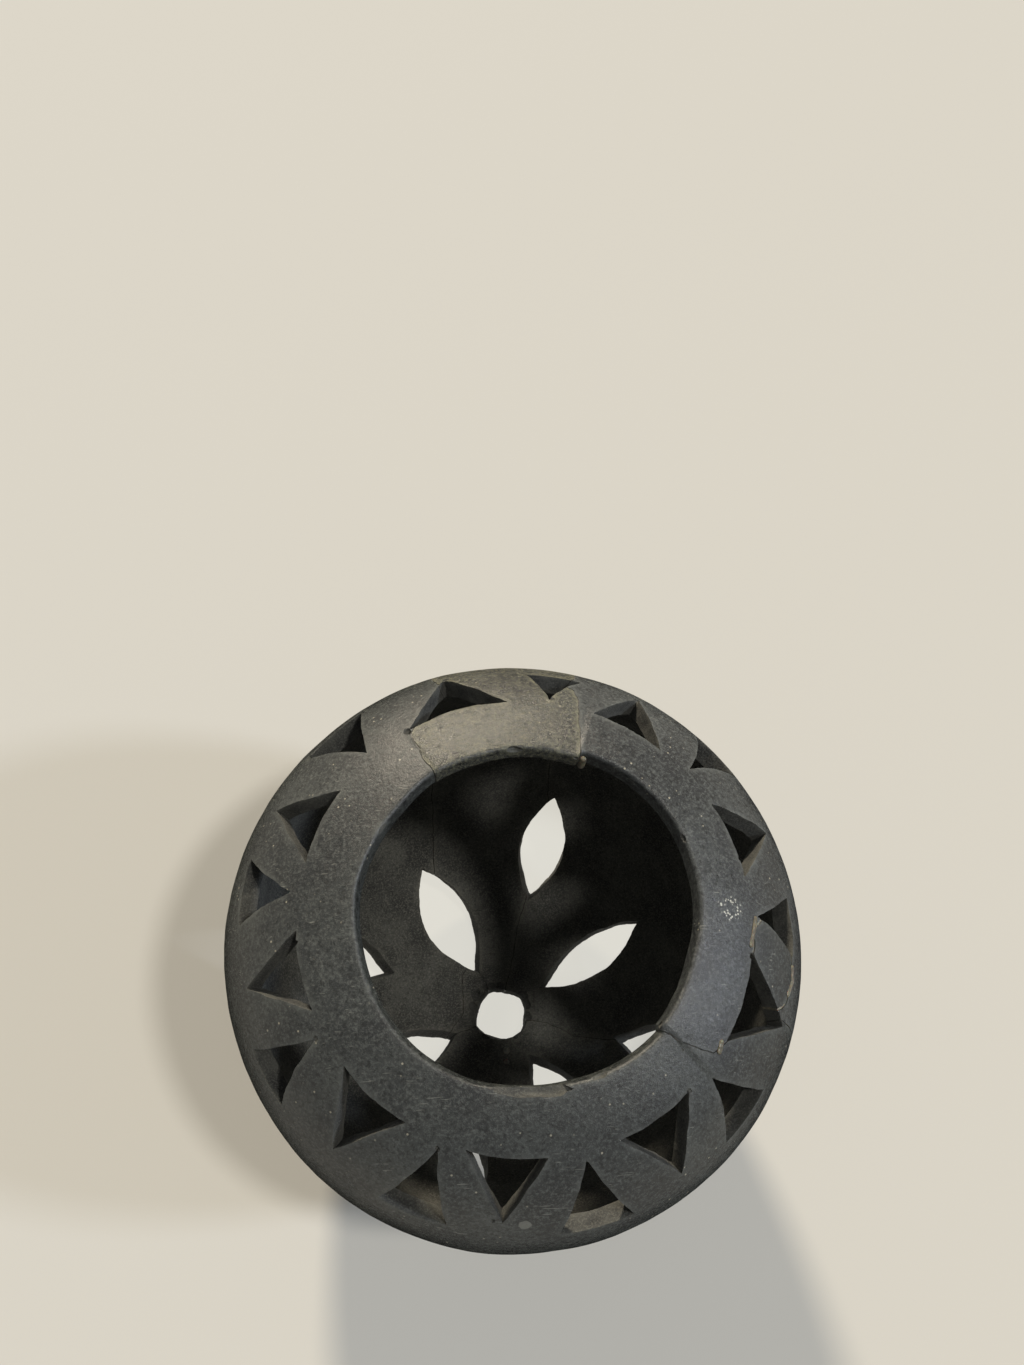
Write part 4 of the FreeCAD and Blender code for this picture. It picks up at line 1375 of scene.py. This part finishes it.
    def build_blobs(self) -> None:
        """Swell and smooth the beads and drops of glue that set on the surface."""
        for name, node in self.frame["nodes"].items():
            if not name.startswith(("glue_bead", "glue_drop", "glue_spots")):
                continue
            work = bmesh.new()
            work.from_mesh(node.data)
            bmesh.ops.remove_doubles(work, verts=work.verts, dist=1e-6)
            mesh = bpy.data.meshes.new(name)
            work.to_mesh(mesh)
            work.free()
            made = bpy.data.objects.new(name, mesh)
            bpy.context.scene.collection.objects.link(made)
            grain = made.modifiers.new("grain", "REMESH")
            grain.mode = "VOXEL"
            grain.voxel_size = 0.22 * MM
            relax = made.modifiers.new("relax", "SMOOTH")
            relax.iterations = 5
            bpy.context.view_layer.update()
            depsgraph = bpy.context.evaluated_depsgraph_get()
            made.data = bpy.data.meshes.new_from_object(made.evaluated_get(depsgraph))
            made.modifiers.clear()
            points = read_points(made.data)
            inside = name == "glue_spots_inside"
            depth = np.full(len(points), self.shape.wall if inside else 0.0)
            height = points[:, 2] - self.shape.equator
            normal = self.shape.normal_at(points[:, :2], height)
            bearing = np.arctan2(points[:, 1], points[:, 0])
            moved = self.wall.uneven(points, normal, bearing, depth)
            lift = 0.2 * self.hand.swell(points, 1.6, 2)
            if inside:
                lift += self.inside_lift
            else:
                lift -= self.flatten * np.clip(-self.shape.depth_of(points), 0, 2)
            write_points(made.data, moved + normal * lift[:, None])
            self.glue(made, self.clear if inside else self.cement, 60, name)

    def build(self) -> None:
        """Make every piece."""
        self.build_sherds()
        self.build_films()
        self.build_blobs()


# --------------------------------------------------------------------- stage
@dataclass
class Stage:
    """Pale floor with a painted glow under the pot, soft light and the camera."""

    floor_size: float = 12.0
    floor_colour: str = "#cccbc5"
    glow_colour: str = "#e4e2d9"
    open_glow: float = 0.12
    under_glow: float = 0.85
    glow_middle: tuple[float, float, float] = (0.005, 0.018, 0.0)
    glow_reach: tuple[float, float] = (0.125, 0.070)
    spread: float = 6.0
    world_colour: str = "#f2f1ec"
    world_fill: float = 0.16
    world_seen: float = 0.6

    def build_floor(self) -> None:
        """Pale floor that keeps a shadow away from the pot, with a painted glow under the pot so
        that it stays bright through the openings.
        """
        work = bmesh.new()
        bmesh.ops.create_grid(work, x_segments=2, y_segments=2, size=self.floor_size / 2 / MM)
        floor = mesh_object("floor", work)
        g = Graph.new("floor_pale_glowing_under_pot")
        # Painted light: for camera, reflection and clear rays the floor gives off light, most
        # within the glow's reach under the pot, which washes out the pot's shadow there.
        under = g.away(g.where(), self.glow_middle)
        lit = g.ramp(under, *self.glow_reach, self.open_glow, self.under_glow)
        cloth = g.add("BsdfPrincipled", Base_Color=linear(self.floor_colour), Roughness=0.9)
        glow = g.add("Emission", Color=linear(self.glow_colour), Strength=1.0)
        share = g.times(g.shone_on(), lit)
        both = g.add("MixShader", i0=share, i1=cloth.outputs[0], i2=glow.outputs[0])
        floor.data.materials.append(g.output(both.outputs[0]))

    def lamp(self, name: str, way: tuple[float, float, float], power: float, colour: str) -> None:
        """Soft lamp so far away that its light is even.

        Args:
            name: the lamp's name.
            way: the direction from the pot to the lamp.
            power: its strength, in watts a square metre.
            colour: its sRGB colour.
        """
        light = bpy.data.lights.new(name, "SUN")
        light.angle = math.radians(self.spread)
        light.energy = power
        light.color = linear(colour)[:3]
        lamp = bpy.data.objects.new(name, light)
        lamp.rotation_euler = (-Vector(way)).to_track_quat("-Z", "Y").to_euler()
        bpy.context.scene.collection.objects.link(lamp)

    def build_light(self) -> None:
        """Soft lamps beyond, beside and above the pot, and a weak even fill."""
        self.lamp("lamp_beyond", (-0.19, 0.88, 0.43), 3.5, "#fff0d8")
        self.lamp("lamp_right", (0.81, -0.08, 0.57), 1.05, "#e6efff")
        self.lamp("lamp_above", (0.36, -0.07, 0.93), 1.2, "#fffaf2")
        world = bpy.data.worlds.new("studio")
        world.use_nodes = True
        g = Graph(world.node_tree)
        strength = g.add("MapRange", i0=g.shone_on(), i3=self.world_fill, i4=self.world_seen)
        back = world.node_tree.nodes["Background"]
        back.inputs[0].default_value = linear(self.world_colour)
        world.node_tree.links.new(strength.outputs[0], back.inputs[1])
        bpy.context.scene.world = world

    def build_camera(self) -> None:
        """Camera nearly overhead, leaning in from the near side."""
        data = bpy.data.cameras.new("camera")
        data.sensor_width = 36
        data.lens = 32.97
        data.clip_start, data.clip_end = 0.02, 50
        camera = bpy.data.objects.new("camera", data)
        forward = Vector((0.08682, 0.37664, -0.92228)).normalized()
        right = Vector((0.99622, -0.03282, 0.08037))
        right = (right - forward * right.dot(forward)).normalized()
        up = right.cross(forward)
        turn = Matrix((right, up, -forward)).transposed()
        place = Matrix.Translation(Vector((-49.8, -102.8, 690.0)) * MM)
        camera.matrix_world = place @ turn.to_4x4()
        bpy.context.scene.collection.objects.link(camera)
        bpy.context.scene.camera = camera

    def build(self) -> None:
        """Set up the whole stage."""
        self.build_floor()
        self.build_light()
        self.build_camera()
        bpy.context.scene.view_settings.view_transform = "Standard"


def main() -> None:
    """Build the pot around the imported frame, then the floor, light and camera."""
    logging.basicConfig(level=logging.INFO, format="%(message)s")
    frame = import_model()
    Pot(frame, PotShape(body_radius=127.0), HandFinish()).build()
    Stage().build()
    bpy.context.view_layer.update()


if __name__ == "__main__":
    main()
